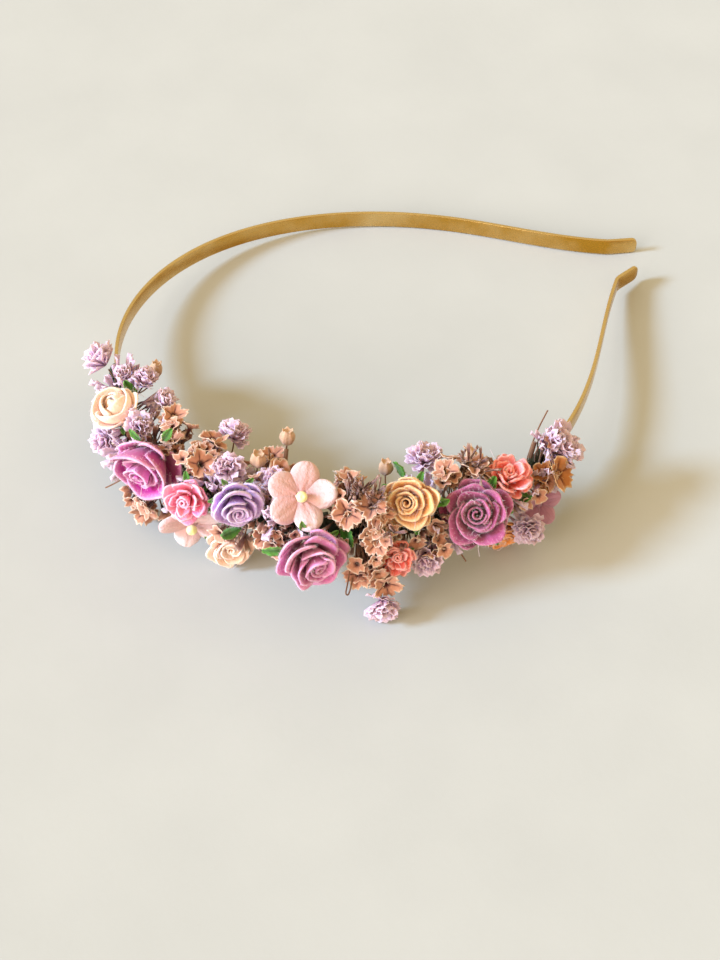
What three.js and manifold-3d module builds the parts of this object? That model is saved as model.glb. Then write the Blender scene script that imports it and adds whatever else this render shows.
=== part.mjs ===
// Flower headband: a flat metal hair band lying on its edge, with paper and dried flowers bound along
// one arm of the loop. Millimetres, +Z up. The loop runs along X, from its crown to its open ends at +X,
// with the flowered arm at -Y and the bare arm at +Y. The origin is below the middle, on the table.
import * as THREE from "three";
import { mergeVertices } from "three/addons/utils/BufferGeometryUtils.js";
import Module from "manifold-3d";

const wasm = await Module();
wasm.setup();

// Driving dimensions of the band
const STRIP_WIDTH = 5;
const STRIP_THICKNESS = 1;
const STRIP_STEP = 6;           // length of one facet along the strip
const TIP_LENGTH = 8.6;         // flat pad at each end
const TIP_CORNER = 1.6;         // corner radius of a pad
const WALK_STEP = 0.5;          // step in which the strip's line is walked
const CLEARANCE = 0.3;          // gap between neighbouring pieces

// Each arm bends evenly from one row's radius to the next; a negative radius flares outwards.
// tipFlare turns the pad away from the head, in degrees.
const BARE_ARM = {
  tipFlare: 11,
  bends: [
    { along: 0, radius: 94 },
    { along: 40, radius: 53.2 },
    { along: 80, radius: 59 },
    { along: 120, radius: 92.4 },
    { along: 160, radius: 122 },
    { along: 206, radius: -72 },
  ],
};
const FLOWERED_ARM = {
  tipFlare: 28,
  bends: [
    { along: 0, radius: 56.5 },
    { along: 40, radius: 59.3 },
    { along: 78, radius: 68 },
    { along: 117, radius: 62 },
    { along: 156, radius: 136 },
    { along: 200, radius: -115 },
  ],
};

// The loop lies tilted: the bare arm's edge rests on the table, and the flowers lift the crown.
const LIE_ROLL = -5.4;
const LIE_PITCH = 4.2;

// Tape-bound bundle of stems along the band
const BINDING_FROM = -26;
const BINDING_TO = 134;
const BINDING_STEP = 8;
const BINDING_WALL = 0.7;       // tape over the strip's edges and inner face
const BINDING_BULGE = 3;        // stems on the outer face
const BINDING_END_BULGE = 1.4;  // the bundle thins out at its two ends
const BINDING_TAPER = 14;

const PAPER = 0.6;              // thickness of a paper petal
const STEM_RADIUS = 0.5;
const STEM_CLEARANCE = 0.45;
const STEM_ROOT = 0.12;         // how far a stem runs up into its head, as a share of the head's size
const BEAD_RADIUS = 1.4;

const FINISHES = {
  gold: { color: 0xc9992f, roughness: 0.3, metalness: 1 },
  tape: { color: 0x2f3b2a, roughness: 0.8, metalness: 0 },
  plum: { color: 0xa45090, roughness: 0.85, metalness: 0 },
  lavender: { color: 0xb497d6, roughness: 0.85, metalness: 0 },
  peach: { color: 0xf2c183, roughness: 0.85, metalness: 0 },
  ivory: { color: 0xf7e0c8, roughness: 0.85, metalness: 0 },
  pink: { color: 0xf2709f, roughness: 0.85, metalness: 0 },
  coral: { color: 0xf08a80, roughness: 0.85, metalness: 0 },
  orange: { color: 0xe8924f, roughness: 0.85, metalness: 0 },
  blush: { color: 0xf2c4b8, roughness: 0.85, metalness: 0 },
  mauve: { color: 0xb98fae, roughness: 0.85, metalness: 0 },
  pearl: { color: 0xf2eeb0, roughness: 0.4, metalness: 0 },
  lilac: { color: 0xc3a3cc, roughness: 0.9, metalness: 0 },
  tan: { color: 0xd8a987, roughness: 0.9, metalness: 0 },
  beige: { color: 0xd9bfa0, roughness: 0.8, metalness: 0 },
  green: { color: 0x3f7a35, roughness: 0.7, metalness: 0 },
};

// Where each head sits: along the band from the crown (the bare arm counts as negative), around the band
// (0 points away from the wearer's head, 90 straight up) and its distance out. turn and lift aim its face.
// size is its width, or the length of a pod or leaf.
const ROSES = [
  { name: "plum_left", colour: "plum", along: 15, around: 47, out: 10, turn: 33, lift: 13, size: 18 },
  { name: "plum_front", colour: "plum", along: 57.5, around: 12, out: 15, turn: 15, lift: 11, size: 19 },
  { name: "plum_right", colour: "plum", along: 95, around: 30, out: 10.5, turn: -26, lift: 43, size: 18.5 },
  { name: "lavender", colour: "lavender", along: 40, around: 53, out: 11, turn: 30, lift: 15, size: 14.5 },
  { name: "peach", colour: "peach", along: 80, around: 65, out: 12.5, turn: -14, lift: 37, size: 14.5 },
  { name: "ivory_bud", colour: "ivory", along: -3, around: 53, out: 9.5, turn: 4, lift: 51, size: 11 },
  { name: "ivory_low", colour: "ivory", along: 36.5, around: -69, out: 12.7, turn: 28, lift: -3, size: 12.5 },
  { name: "pink", colour: "pink", along: 29, around: 32, out: 11, turn: 32, lift: 30, size: 11.5 },
  { name: "coral_right", colour: "coral", along: 106, around: 59, out: 9.8, turn: 3, lift: 60, size: 12 },
  { name: "coral_low", colour: "coral", along: 76, around: -14, out: 11.5, turn: -7, lift: 12, size: 9 },
  { name: "orange_low", colour: "orange", along: 104.5, around: -63.5, out: 11.9, turn: -31, lift: -14, size: 11 },
];
const BLOSSOMS = [
  { name: "blush_front", colour: "blush", along: 54.5, around: 72, out: 13.5, turn: 17, lift: 45, size: 17.5 },
  { name: "blush_low", colour: "blush", along: 28, around: -35, out: 9, turn: 37, lift: -9, size: 16.5 },
  { name: "mauve", colour: "mauve", along: 114, around: -30, out: 9, turn: -9, lift: 23, size: 12.5 },
];
const GYPSOPHILA = [
  { along: -22, around: 62, out: 10, turn: -29, lift: 57, size: 11 },
  { along: -14, around: 90, out: 9, turn: -129, lift: 88, size: 7 },
  { along: -10, around: 120, out: 10.5, turn: 136, lift: 64, size: 9 },
  { along: 1, around: 122, out: 12, turn: 152, lift: 57, size: 8 },
  { along: 6, around: 72, out: 10, turn: 73, lift: 57, size: 8 },
  { along: 26, around: 144, out: 16.5, turn: -171, lift: 80, size: 9.5 },
  { along: 34, around: 93, out: 11, turn: 42, lift: 59, size: 9.5 },
  { along: 46, around: 103, out: 10, turn: 30, lift: 59, size: 8 },
  { along: 89, around: 136, out: 14.5, turn: 139, lift: 86, size: 9.5 },
  { along: 83, around: -30, out: 11, turn: -9, lift: 22, size: 10 },
  { along: 72.5, around: -43, out: 21.4, turn: -5, lift: -12, size: 9.5 },
  { along: 124, around: 54, out: 9.5, turn: 19, lift: 43, size: 12.5 },
  { along: 108.5, around: -32, out: 13.4, turn: -31, lift: 16, size: 8.5 },
  { along: -2, around: 2, out: 10.5, turn: 16, lift: 17, size: 8.5 },
];
const CALYCES = [
  { along: 17, around: 89, out: 10, turn: 157, lift: 77, size: 6.5 },
  { along: 27, around: 78, out: 12, turn: 53, lift: 63, size: 7.5 },
  { along: 24, around: 119, out: 12, turn: 117, lift: 84, size: 6.5 },
  { along: 9, around: 118, out: 12, turn: 138, lift: 64, size: 6.5 },
  { along: 42, around: 140, out: 14, turn: 157, lift: 84, size: 6.5 },
  { along: 47, around: -1, out: 7.5, turn: 23, lift: 16, size: 6.5 },
  { along: 65.5, around: 60, out: 12.5, turn: 5, lift: 45, size: 8 },
  { along: 71.5, around: 23, out: 12.5, turn: -3, lift: 26, size: 7.5 },
  { along: 71.5, around: 58, out: 15, turn: 0, lift: 60, size: 8 },
  { along: 65, around: 111, out: 12, turn: 86, lift: 87, size: 7 },
  { along: 69, around: -30, out: 13.5, turn: -8, lift: 17, size: 7.5 },
  { along: 73, around: -27, out: 15.5, turn: 4, lift: 7, size: 7.5 },
  { along: 92, around: 94, out: 12, turn: -12, lift: 84, size: 6.5 },
  { along: 99, around: 86, out: 12, turn: 3, lift: 89, size: 7 },
  { along: 117, around: 29, out: 10.5, turn: 5, lift: 31, size: 9 },
  { along: 14, around: -52, out: 14, turn: 45, lift: -5, size: 7 },
];
const SEEDS = [
  { name: "seed_bud_1", along: 45, around: 140, out: 20, turn: -174, lift: 76, size: 4.2, plump: 1 },
  { name: "seed_bud_2", along: 77, around: 141, out: 13.5, turn: 163, lift: 76, size: 4, plump: 1 },
  { name: "seed_bud_3", along: 40, around: 115, out: 13.5, turn: 157, lift: 84, size: 4.4, plump: 1 },
  { name: "seed_bud_4", along: -15, around: 138, out: 12, turn: -149, lift: 74, size: 4.5, plump: 0.85 },
  { name: "seed_pod", along: 100, around: 104, out: 12.5, turn: -166, lift: 53, size: 6.5, plump: 0.5 },
];
const LEAVES = [
  { along: -7, around: 87, out: 9, turn: -69, lift: 59, size: 12 },
  { along: 65.5, around: 26, out: 8, turn: 20, lift: -30, size: 11 },
  { along: 80, around: 133, out: 12, turn: -127, lift: 65, size: 10 },
  { along: 88, around: 65, out: 10, turn: 20, lift: 40, size: 10 },
  { along: 40, around: 8, out: 10.5, turn: -25, lift: 10, size: 10 },
  { along: 107, around: 25, out: 9.5, turn: 36, lift: 29, size: 10 },
];
const SPIN_STEP = 37;           // degrees between one head's turn on its stem and the next one's

const UP = new THREE.Vector3(0, 0, 1);
const radians = THREE.MathUtils.degToRad;
const mix = THREE.MathUtils.lerp;
const vector = (x, y, z) => new THREE.Vector3(x, y, z);

// Solids: joining, cutting and closing meshes

function positionsOnly(geometry) {
  const bare = geometry.clone();
  bare.deleteAttribute("normal");
  bare.deleteAttribute("uv");
  return mergeVertices(bare, 1e-4);
}

function toSolid(geometry) {
  const bare = positionsOnly(geometry);
  return new wasm.Manifold(new wasm.Mesh({
    numProp: 3,
    vertProperties: new Float32Array(bare.attributes.position.array),
    triVerts: new Uint32Array(bare.index.array),
  }));
}

function toGeometry(solid) {
  const mesh = solid.getMesh();
  const geometry = new THREE.BufferGeometry();
  geometry.setAttribute("position", new THREE.BufferAttribute(new Float32Array(mesh.vertProperties), 3));
  geometry.setIndex(new THREE.BufferAttribute(new Uint32Array(mesh.triVerts), 1));
  return geometry;
}

function join(geometries) {
  return toGeometry(geometries.map(toSolid).reduce((whole, piece) => whole.add(piece)));
}

function cut(geometry, tool) {
  return toGeometry(toSolid(geometry).subtract(toSolid(tool)));
}

// A mesh from points and triangles, turned so that its faces point outwards.
function closedMesh(points, triangles) {
  let volume = 0;
  for (const [a, b, c] of triangles) {
    volume += points[a].dot(vector(0, 0, 0).crossVectors(points[b], points[c]));
  }
  const outward = volume > 0 ? triangles : triangles.map(([a, b, c]) => [a, c, b]);
  const geometry = new THREE.BufferGeometry().setFromPoints(points);
  geometry.setIndex(outward.flat());
  return geometry;
}

// Rings of equal count joined in order. An end is capped by a fan, or drawn to a single point.
function ringSolid(rings, { firstPoint = null, lastPoint = null } = {}) {
  const count = rings[0].length;
  const points = rings.flat();
  const triangles = [];
  for (let ring = 0; ring + 1 < rings.length; ring += 1) {
    for (let i = 0; i < count; i += 1) {
      const a = ring * count + i;
      const b = ring * count + (i + 1) % count;
      triangles.push([a, b, b + count], [a, b + count, a + count]);
    }
  }
  const capEnd = (start, tip, flip) => {
    const order = (a, b, c) => (flip ? [a, c, b] : [a, b, c]);
    if (tip) {
      points.push(tip);
      for (let i = 0; i < count; i += 1) {
        triangles.push(order(points.length - 1, start + (i + 1) % count, start + i));
      }
    } else {
      for (let i = 1; i + 1 < count; i += 1) {
        triangles.push(order(start, start + i + 1, start + i));
      }
    }
  };
  capEnd(0, firstPoint, false);
  capEnd((rings.length - 1) * count, lastPoint, true);
  return closedMesh(points, triangles);
}

// A curved sheet of even thickness. place(u, v) gives its middle face, u from -1 to 1 and v from 0 to 1.
function sheetSolid(across, up, thickness, place) {
  const step = 1e-3;
  const front = [];
  const back = [];
  for (let j = 0; j <= up; j += 1) {
    for (let i = 0; i <= across; i += 1) {
      const u = 2 * i / across - 1;
      const v = j / up;
      const alongU = place(u + step, v).sub(place(u - step, v));
      const alongV = place(u, v + step).sub(place(u, v - step));
      const normal = alongU.cross(alongV).normalize();
      front.push(place(u, v).addScaledVector(normal, thickness / 2));
      back.push(place(u, v).addScaledVector(normal, -thickness / 2));
    }
  }
  const at = (i, j) => j * (across + 1) + i;
  const other = front.length;
  const triangles = [];
  for (let j = 0; j < up; j += 1) {
    for (let i = 0; i < across; i += 1) {
      const [a, b, c, d] = [at(i, j), at(i + 1, j), at(i + 1, j + 1), at(i, j + 1)];
      triangles.push([a, b, c], [a, c, d]);
      triangles.push([other + a, other + c, other + b], [other + a, other + d, other + c]);
    }
  }
  const rim = [];
  for (let i = 0; i < across; i += 1) {
    rim.push(at(i, 0));
  }
  for (let j = 0; j < up; j += 1) {
    rim.push(at(across, j));
  }
  for (let i = across; i > 0; i -= 1) {
    rim.push(at(i, up));
  }
  for (let j = up; j > 0; j -= 1) {
    rim.push(at(0, j));
  }
  rim.forEach((a, k) => {
    const b = rim[(k + 1) % rim.length];
    triangles.push([a, other + a, other + b], [a, other + b, b]);
  });
  return closedMesh([...front, ...back], triangles);
}

// The band's line

// Walks along one arm from the crown in small steps, turning by the local bend at each.
function walkArm(arm, side) {
  const step = WALK_STEP;
  const length = arm.bends.at(-1).along;
  const walk = [];
  let heading = 0;
  let [x, y] = [0, 0];
  const bendAt = (along) => {
    const next = Math.max(1, arm.bends.findIndex((row) => row.along >= along));
    const [from, to] = [arm.bends[next - 1], arm.bends[next]];
    const share = (along - from.along) / (to.along - from.along);
    return mix(1 / from.radius, 1 / to.radius, share);
  };
  for (let along = 0; along <= length; along += step) {
    walk.push({ along, x, y: y * side, heading });
    const middle = heading + bendAt(along) * step / 2;
    x += Math.sin(middle) * step;
    y += Math.cos(middle) * step;
    heading += bendAt(along) * step;
  }
  const last = walk.at(-1);
  const flared = last.heading - radians(arm.tipFlare);
  walk.push({
    along: length + TIP_LENGTH,
    x: last.x + Math.sin(flared) * TIP_LENGTH,
    y: last.y + Math.cos(flared) * TIP_LENGTH * side,
    heading: flared,
  });
  return walk;
}

const ARM_WALKS = { bare: walkArm(BARE_ARM, 1), flowered: walkArm(FLOWERED_ARM, -1) };
const BARE_END = ARM_WALKS.bare.at(-1).along;
const FLOWERED_END = ARM_WALKS.flowered.at(-1).along;

// The strip's inner face at mid width, its direction towards the flowered tip, and the way out from
// the head.
function bandAt(along) {
  const flowered = along >= 0;
  const walk = flowered ? ARM_WALKS.flowered : ARM_WALKS.bare;
  const distance = Math.abs(along);
  const next = Math.max(1, walk.findIndex((row) => row.along >= distance - 1e-9));
  const [from, to] = [walk[next - 1], walk[next]];
  const share = (distance - from.along) / (to.along - from.along);
  const heading = mix(from.heading, to.heading, share);
  const point = vector(mix(from.x, to.x, share), mix(from.y, to.y, share), 0);
  const ahead = flowered ? 1 : -1;
  const tangent = vector(Math.sin(heading) * ahead, -Math.cos(heading), 0);
  return { point, tangent, outward: vector(tangent.y, -tangent.x, 0) };
}

// One corner loop of a rectangular strip, in the plane across the band.
function stripSection(along, inside, outside, halfWidth) {
  const { point, outward } = bandAt(along);
  const corner = (out, up) => point.clone().addScaledVector(outward, out).addScaledVector(UP, up);
  return [
    corner(-inside, -halfWidth), corner(outside, -halfWidth),
    corner(outside, halfWidth), corner(-inside, halfWidth),
  ];
}

// The strip is cut where it bends: every step along the two arms, at each pad's kink and round its corners.
function makeBand() {
  const [from, to] = [-BARE_ARM.bends.at(-1).along, FLOWERED_ARM.bends.at(-1).along];
  const stops = [{ along: to, halfWidth: STRIP_WIDTH / 2 }];
  for (let along = from; along < to; along += STRIP_STEP) {
    stops.push({ along, halfWidth: STRIP_WIDTH / 2 });
  }
  const cornerShares = [0, 0.25, 0.6, 1];
  for (const share of cornerShares) {
    const inset = share * TIP_CORNER;
    const rounding = Math.sqrt(TIP_CORNER ** 2 - (TIP_CORNER - inset) ** 2);
    const halfWidth = STRIP_WIDTH / 2 - TIP_CORNER + rounding;
    stops.push({ along: -BARE_END + inset, halfWidth }, { along: FLOWERED_END - inset, halfWidth });
  }
  stops.sort((a, b) => a.along - b.along);
  return ringSolid(stops.map((stop) => stripSection(stop.along, 0, STRIP_THICKNESS, stop.halfWidth)));
}

// The bundle's outline across the band, around the strip: flat on the inner face, full on the outer one.
function bindingOutline(bulge) {
  const half = STRIP_WIDTH / 2 + CLEARANCE + BINDING_WALL;
  const inner = CLEARANCE + BINDING_WALL;
  const round = [-90, -45, 0, 45, 90].map(radians).map((angle) => ({
    out: STRIP_THICKNESS + bulge * Math.cos(angle),
    up: half * Math.sin(angle),
  }));
  const chamfer = BINDING_WALL;
  return [
    { out: -inner + chamfer, up: -half }, ...round, { out: -inner + chamfer, up: half },
    { out: -inner, up: half - chamfer }, { out: -inner, up: chamfer - half },
  ];
}

function bulgeAt(along) {
  const fromEnd = Math.min(along - BINDING_FROM, BINDING_TO - along);
  return mix(BINDING_END_BULGE, BINDING_BULGE, Math.min(1, fromEnd / BINDING_TAPER));
}

function makeBinding() {
  const wrap = [];
  const bore = [];
  for (let along = BINDING_FROM - BINDING_STEP; along <= BINDING_TO + BINDING_STEP; along += BINDING_STEP) {
    bore.push(stripSection(along, CLEARANCE, STRIP_THICKNESS + CLEARANCE, STRIP_WIDTH / 2 + CLEARANCE));
    if (along >= BINDING_FROM && along <= BINDING_TO) {
      const { point, outward } = bandAt(along);
      wrap.push(bindingOutline(bulgeAt(along)).map(({ out, up }) => (
        point.clone().addScaledVector(outward, out).addScaledVector(UP, up)
      )));
    }
  }
  return cut(ringSolid(wrap), ringSolid(bore));
}

// Flower heads: each faces +Z and has its middle at the origin; base is how far back its calyx reaches.

const BASE = { rose: 0.36, blossom: 0.2, gypsophila: 0.42, calyx: 0.4, seed: 0.55, leaf: 0.5 };

const ring = (count, radiusOf, heightOf) => Array.from({ length: count }, (_, i) => {
  const angle = 2 * Math.PI * i / count;
  return vector(radiusOf(i) * Math.cos(angle), radiusOf(i) * Math.sin(angle), heightOf(i));
});

// A turned body from rows of radius and height, as shares of the size; both ends close on the axis.
function turned(rows, size, sides) {
  const profile = rows.map((row) => new THREE.Vector2(row.radius * size, row.height * size));
  return new THREE.LatheGeometry(profile, sides).rotateX(Math.PI / 2);
}

// A rose is one folded wall of paper: up the outside of a round of petals, over its rim, down into the
// fold behind it, and so on to the heart. Rows run from the stalk to the heart, as shares of the size.
// lap is how far one side of a petal stands outside its neighbour, droop how far its sides fall.
const ROSE_SAMPLES = 15;
const OUTER_PETALS = 5;
const INNER_PETALS = 3;
const OUTER_ROUND = [
  { petals: OUTER_PETALS, radius: 0.08, height: -0.36, lap: 0, droop: 0 },
  { petals: OUTER_PETALS, radius: 0.23, height: -0.2, lap: 0.01, droop: 0 },
  { petals: OUTER_PETALS, radius: 0.4, height: -0.04, lap: 0.03, droop: 0.02 },
  { petals: OUTER_PETALS, radius: 0.47, height: 0.1, lap: 0.03, droop: 0.08 },
  { petals: OUTER_PETALS, radius: 0.43, height: 0.15, lap: 0.03, droop: 0.08 },
  { petals: OUTER_PETALS, radius: 0.32, height: 0.02, lap: 0.02, droop: 0.02 },
];
const INNER_ROUND = [
  { petals: INNER_PETALS, radius: 0.25, height: -0.04, lap: 0.01, droop: 0 },
  { petals: INNER_PETALS, radius: 0.29, height: 0.12, lap: 0.03, droop: 0.02 },
  { petals: INNER_PETALS, radius: 0.28, height: 0.25, lap: 0.03, droop: 0.05 },
  { petals: INNER_PETALS, radius: 0.23, height: 0.25, lap: 0.03, droop: 0.05 },
];
const HEART = [
  { petals: INNER_PETALS, radius: 0.18, height: 0.08, lap: 0.02, droop: 0 },
  { petals: INNER_PETALS, radius: 0.15, height: 0.2, lap: 0.02, droop: 0 },
  { petals: INNER_PETALS, radius: 0.07, height: 0.27, lap: 0.01, droop: 0 },
];
const HEART_TOP = 0.24;
const FULL_ROSE = 14;           // roses from this width up have an inner round of petals

function petalRing(row, size) {
  const perPetal = ROSE_SAMPLES / row.petals;
  const sweep = 360 / OUTER_PETALS;
  const stops = [0.1, 0.5, 0.9];
  return Array.from({ length: ROSE_SAMPLES }, (_, i) => {
    const angle = radians(sweep * (Math.floor(i / stops.length) + stops[i % stops.length]));
    const side = 2 * (i % perPetal) / (perPetal - 1) - 1;
    const radius = (row.radius + row.lap * side) * size;
    const height = (row.height - row.droop * side * side) * size;
    return vector(radius * Math.cos(angle), radius * Math.sin(angle), height);
  });
}

function makeRose(size) {
  const inner = size >= FULL_ROSE ? INNER_ROUND : [];
  const rings = [...OUTER_ROUND, ...inner, ...HEART].map((row) => petalRing(row, size));
  return [ringSolid(rings, { lastPoint: vector(0, 0, HEART_TOP * size) })];
}

const BLOSSOM_PETALS = 5;
const BLOSSOM_THICKNESS = 0.9;
const BLOSSOM_CUP = 0.1;        // how far the petal tips rise, as a share of the width
const PETAL_OUTLINE = [0.22, 0.45, 0.5, 0.45];  // reach from one notch to the next
const BLOSSOM_CALYX = [
  { radius: 0, height: -0.2 },
  { radius: 0.05, height: -0.2 },
  { radius: 0.13, height: -0.02 },
  { radius: 0, height: 0.01 },
];

function makeBlossom(size) {
  const count = BLOSSOM_PETALS * PETAL_OUTLINE.length;
  const reach = (i) => PETAL_OUTLINE[i % PETAL_OUTLINE.length] * size;
  const cup = (radius) => BLOSSOM_CUP * size * (radius / (size / 2)) ** 2;
  const half = BLOSSOM_THICKNESS / 2;
  const disc = (share, side) => ring(
    count,
    (i) => share * reach(i),
    (i) => cup(share * reach(i)) + side * half,
  );
  const middle = 0.45;
  const plate = ringSolid([disc(middle, -1), disc(1, -1), disc(1, 1), disc(middle, 1)], {
    firstPoint: vector(0, 0, -half),
    lastPoint: vector(0, 0, half),
  });
  return [plate, turned(BLOSSOM_CALYX, size, 6)];
}

// Rows from the stalk up: tip and notch are the reach of a petal and of the fold between two petals.
const GYPSOPHILA_PETALS = 6;
const GYPSOPHILA_ROWS = [
  { tip: 0.09, notch: 0.09, tipHeight: -0.42, notchHeight: -0.42 },
  { tip: 0.16, notch: 0.15, tipHeight: -0.14, notchHeight: -0.14 },
  { tip: 0.5, notch: 0.39, tipHeight: 0.06, notchHeight: 0.01 },
  { tip: 0.45, notch: 0.36, tipHeight: 0.22, notchHeight: 0.15 },
  { tip: 0.28, notch: 0.2, tipHeight: 0.42, notchHeight: 0.33 },
];
const CALYX_LOBES = 5;
const CALYX_OUTSIDE = [
  { tip: 0.08, notch: 0.08, tipHeight: -0.4, notchHeight: -0.4 },
  { tip: 0.14, notch: 0.13, tipHeight: -0.05, notchHeight: -0.05 },
  { tip: 0.5, notch: 0.38, tipHeight: 0.42, notchHeight: 0.32 },
];
const CALYX_INSIDE = [
  { tip: 0.45, notch: 0.33, tipHeight: 0.46, notchHeight: 0.37 },
  { tip: 0.08, notch: 0.07, tipHeight: 0.05, notchHeight: 0.05 },
];

const foldedRing = (row, lobes, size) => ring(
  2 * lobes,
  (i) => (i % 2 ? row.notch : row.tip) * size,
  (i) => (i % 2 ? row.notchHeight : row.tipHeight) * size,
);

function makeGypsophila(size) {
  const rings = GYPSOPHILA_ROWS.map((row) => foldedRing(row, GYPSOPHILA_PETALS, size));
  const crown = GYPSOPHILA_ROWS.at(-1).notchHeight * size;
  return [ringSolid(rings, { lastPoint: vector(0, 0, crown) })];
}

function makeCalyx(size) {
  const rings = [...CALYX_OUTSIDE, ...CALYX_INSIDE].map((row) => foldedRing(row, CALYX_LOBES, size));
  return [ringSolid(rings, { lastPoint: vector(0, 0, 0) })];
}

const SEED_PROFILE = [
  { radius: 0, height: -0.5 },
  { radius: 0.22, height: -0.46 },
  { radius: 0.48, height: -0.1 },
  { radius: 0.38, height: 0.28 },
  { radius: 0, height: 0.5 },
];

function makeSeed(size, plump) {
  return [turned(SEED_PROFILE, size, 7).scale(plump, plump, 1)];
}

// A leaf stands along +Z; its sizes are shares of its length, and the ends' share is of its width.
const LEAF_WIDTH = 0.3;
const LEAF_ENDS = 0.12;
const LEAF_BUTT = 0.02;         // the part of a sine's arch that a side follows, from butt to point
const LEAF_POINT = 0.95;
const LEAF_FOLD = 0.08;
const LEAF_ARCH = 0.1;

function makeLeaf(size) {
  return [sheetSolid(2, 4, PAPER, (u, v) => {
    const fullness = mix(LEAF_ENDS, 1, Math.sin(Math.PI * mix(LEAF_BUTT, LEAF_POINT, v)));
    const rise = LEAF_FOLD * size * Math.abs(u) + LEAF_ARCH * size * Math.sin(Math.PI * v);
    return vector(u * fullness * LEAF_WIDTH * size / 2, rise, (v - 0.5) * size);
  })];
}

// Placing a head and running its stem to the binding

function aimHead(row, index) {
  const { point, tangent, outward } = bandAt(row.along);
  const [around, turn, lift] = [row.around, row.turn, row.lift].map(radians);
  const place = point.clone()
    .addScaledVector(outward, row.out * Math.cos(around))
    .addScaledVector(UP, row.out * Math.sin(around));
  const facing = outward.clone().multiplyScalar(Math.cos(turn) * Math.cos(lift))
    .addScaledVector(tangent, Math.sin(turn) * Math.cos(lift))
    .addScaledVector(UP, Math.sin(lift));
  const level = vector(0, 0, 0).crossVectors(UP, facing);
  const side = level.lengthSq() > 1e-6 ? level.normalize() : tangent.clone();
  const axes = new THREE.Matrix4().makeBasis(side, vector(0, 0, 0).crossVectors(facing, side), facing);
  const spin = new THREE.Matrix4().makeRotationZ(radians(index * SPIN_STEP));
  return axes.multiply(spin).setPosition(place);
}

// Where a stem from this point meets the binding's outer face.
function seatBelow(point) {
  let nearest = BINDING_FROM;
  for (let along = BINDING_FROM; along <= BINDING_TO; along += WALK_STEP) {
    if (bandAt(along).point.distanceTo(point) < bandAt(nearest).point.distanceTo(point)) {
      nearest = along;
    }
  }
  const { point: line, outward } = bandAt(nearest);
  const core = line.clone().addScaledVector(outward, STRIP_THICKNESS);
  const away = point.clone().sub(core);
  const [out, up] = [away.dot(outward), away.dot(UP)];
  const outline = bindingOutline(bulgeAt(nearest)).map((corner) => (
    { ...corner, out: corner.out - STRIP_THICKNESS }
  ));
  let reach = 0;
  outline.forEach((a, i) => {
    const b = outline[(i + 1) % outline.length];
    const across = out * (b.up - a.up) - up * (b.out - a.out);
    const share = (a.out * up - a.up * out) / across;
    const along = (a.out * (b.up - a.up) - a.up * (b.out - a.out)) / across;
    if (share >= 0 && share <= 1 && along > 0) {
      reach = along;
    }
  });
  const length = Math.hypot(out, up);
  const share = reach + STEM_CLEARANCE / length;
  return { seat: core.addScaledVector(away, share), room: 1 - share };
}

function stemBetween(from, to) {
  const length = from.distanceTo(to);
  const stem = new THREE.CylinderGeometry(STEM_RADIUS, STEM_RADIUS, length, 5);
  const turn = new THREE.Quaternion().setFromUnitVectors(vector(0, 1, 0), to.clone().sub(from).normalize());
  return stem.applyQuaternion(turn).translate(...from.clone().add(to).multiplyScalar(0.5).toArray());
}

function finish(name) {
  return new THREE.MeshStandardMaterial(FINISHES[name]);
}

function addPiece(group, name, geometry, colour) {
  const mesh = new THREE.Mesh(geometry, finish(colour));
  mesh.name = name;
  group.add(mesh);
  return mesh;
}

function addHead(group, name, kind, colour, row, index, pieces) {
  const place = aimHead(row, index);
  const base = vector(0, 0, -BASE[kind] * row.size);
  const { seat, room } = seatBelow(base.clone().applyMatrix4(place));
  if (room > 0) {
    const root = seat.applyMatrix4(place.clone().invert());
    pieces.push(stemBetween(root, base.clone().addScaledVector(UP, STEM_ROOT * row.size)));
  }
  const mesh = addPiece(group, name, join(pieces), colour);
  place.decompose(mesh.position, mesh.quaternion, mesh.scale);
  return mesh;
}

const headband = new THREE.Group();
const lying = new THREE.Group();
headband.add(lying);
lying.rotation.set(radians(LIE_ROLL), radians(LIE_PITCH), 0);

addPiece(lying, "band", makeBand(), "gold");
addPiece(lying, "stem_binding", makeBinding(), "tape");

ROSES.forEach((row, i) => {
  addHead(lying, `rose_${row.name}`, "rose", row.colour, row, i, makeRose(row.size));
});
BLOSSOMS.forEach((row, i) => {
  const name = `blossom_${row.name}`;
  const blossom = addHead(lying, name, "blossom", row.colour, row, i, makeBlossom(row.size));
  if (row.colour === "blush") {
    const beadName = row.name.replace("blush", "bead");
    const bead = addPiece(lying, beadName, new THREE.SphereGeometry(BEAD_RADIUS, 8, 6), "pearl");
    const height = BLOSSOM_THICKNESS / 2 + CLEARANCE + BEAD_RADIUS;
    bead.position.copy(vector(0, 0, height).applyMatrix4(aimHead(row, i)));
    bead.quaternion.copy(blossom.quaternion);
  }
});
GYPSOPHILA.forEach((row, i) => {
  addHead(lying, `gypsophila_${i + 1}`, "gypsophila", "lilac", row, i, makeGypsophila(row.size));
});
CALYCES.forEach((row, i) => {
  addHead(lying, `calyx_${i + 1}`, "calyx", "tan", row, i, makeCalyx(row.size));
});
SEEDS.forEach((row, i) => {
  addHead(lying, row.name, "seed", "beige", row, i, makeSeed(row.size, row.plump));
});
LEAVES.forEach((row, i) => {
  addHead(lying, `leaf_${i + 1}`, "leaf", "green", row, i, makeLeaf(row.size));
});

headband.updateMatrixWorld(true);
const extent = new THREE.Box3().setFromObject(headband, true);
const middle = extent.getCenter(vector(0, 0, 0));
lying.position.set(-middle.x, -middle.y, -extent.min.z);

export default headband;
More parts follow.
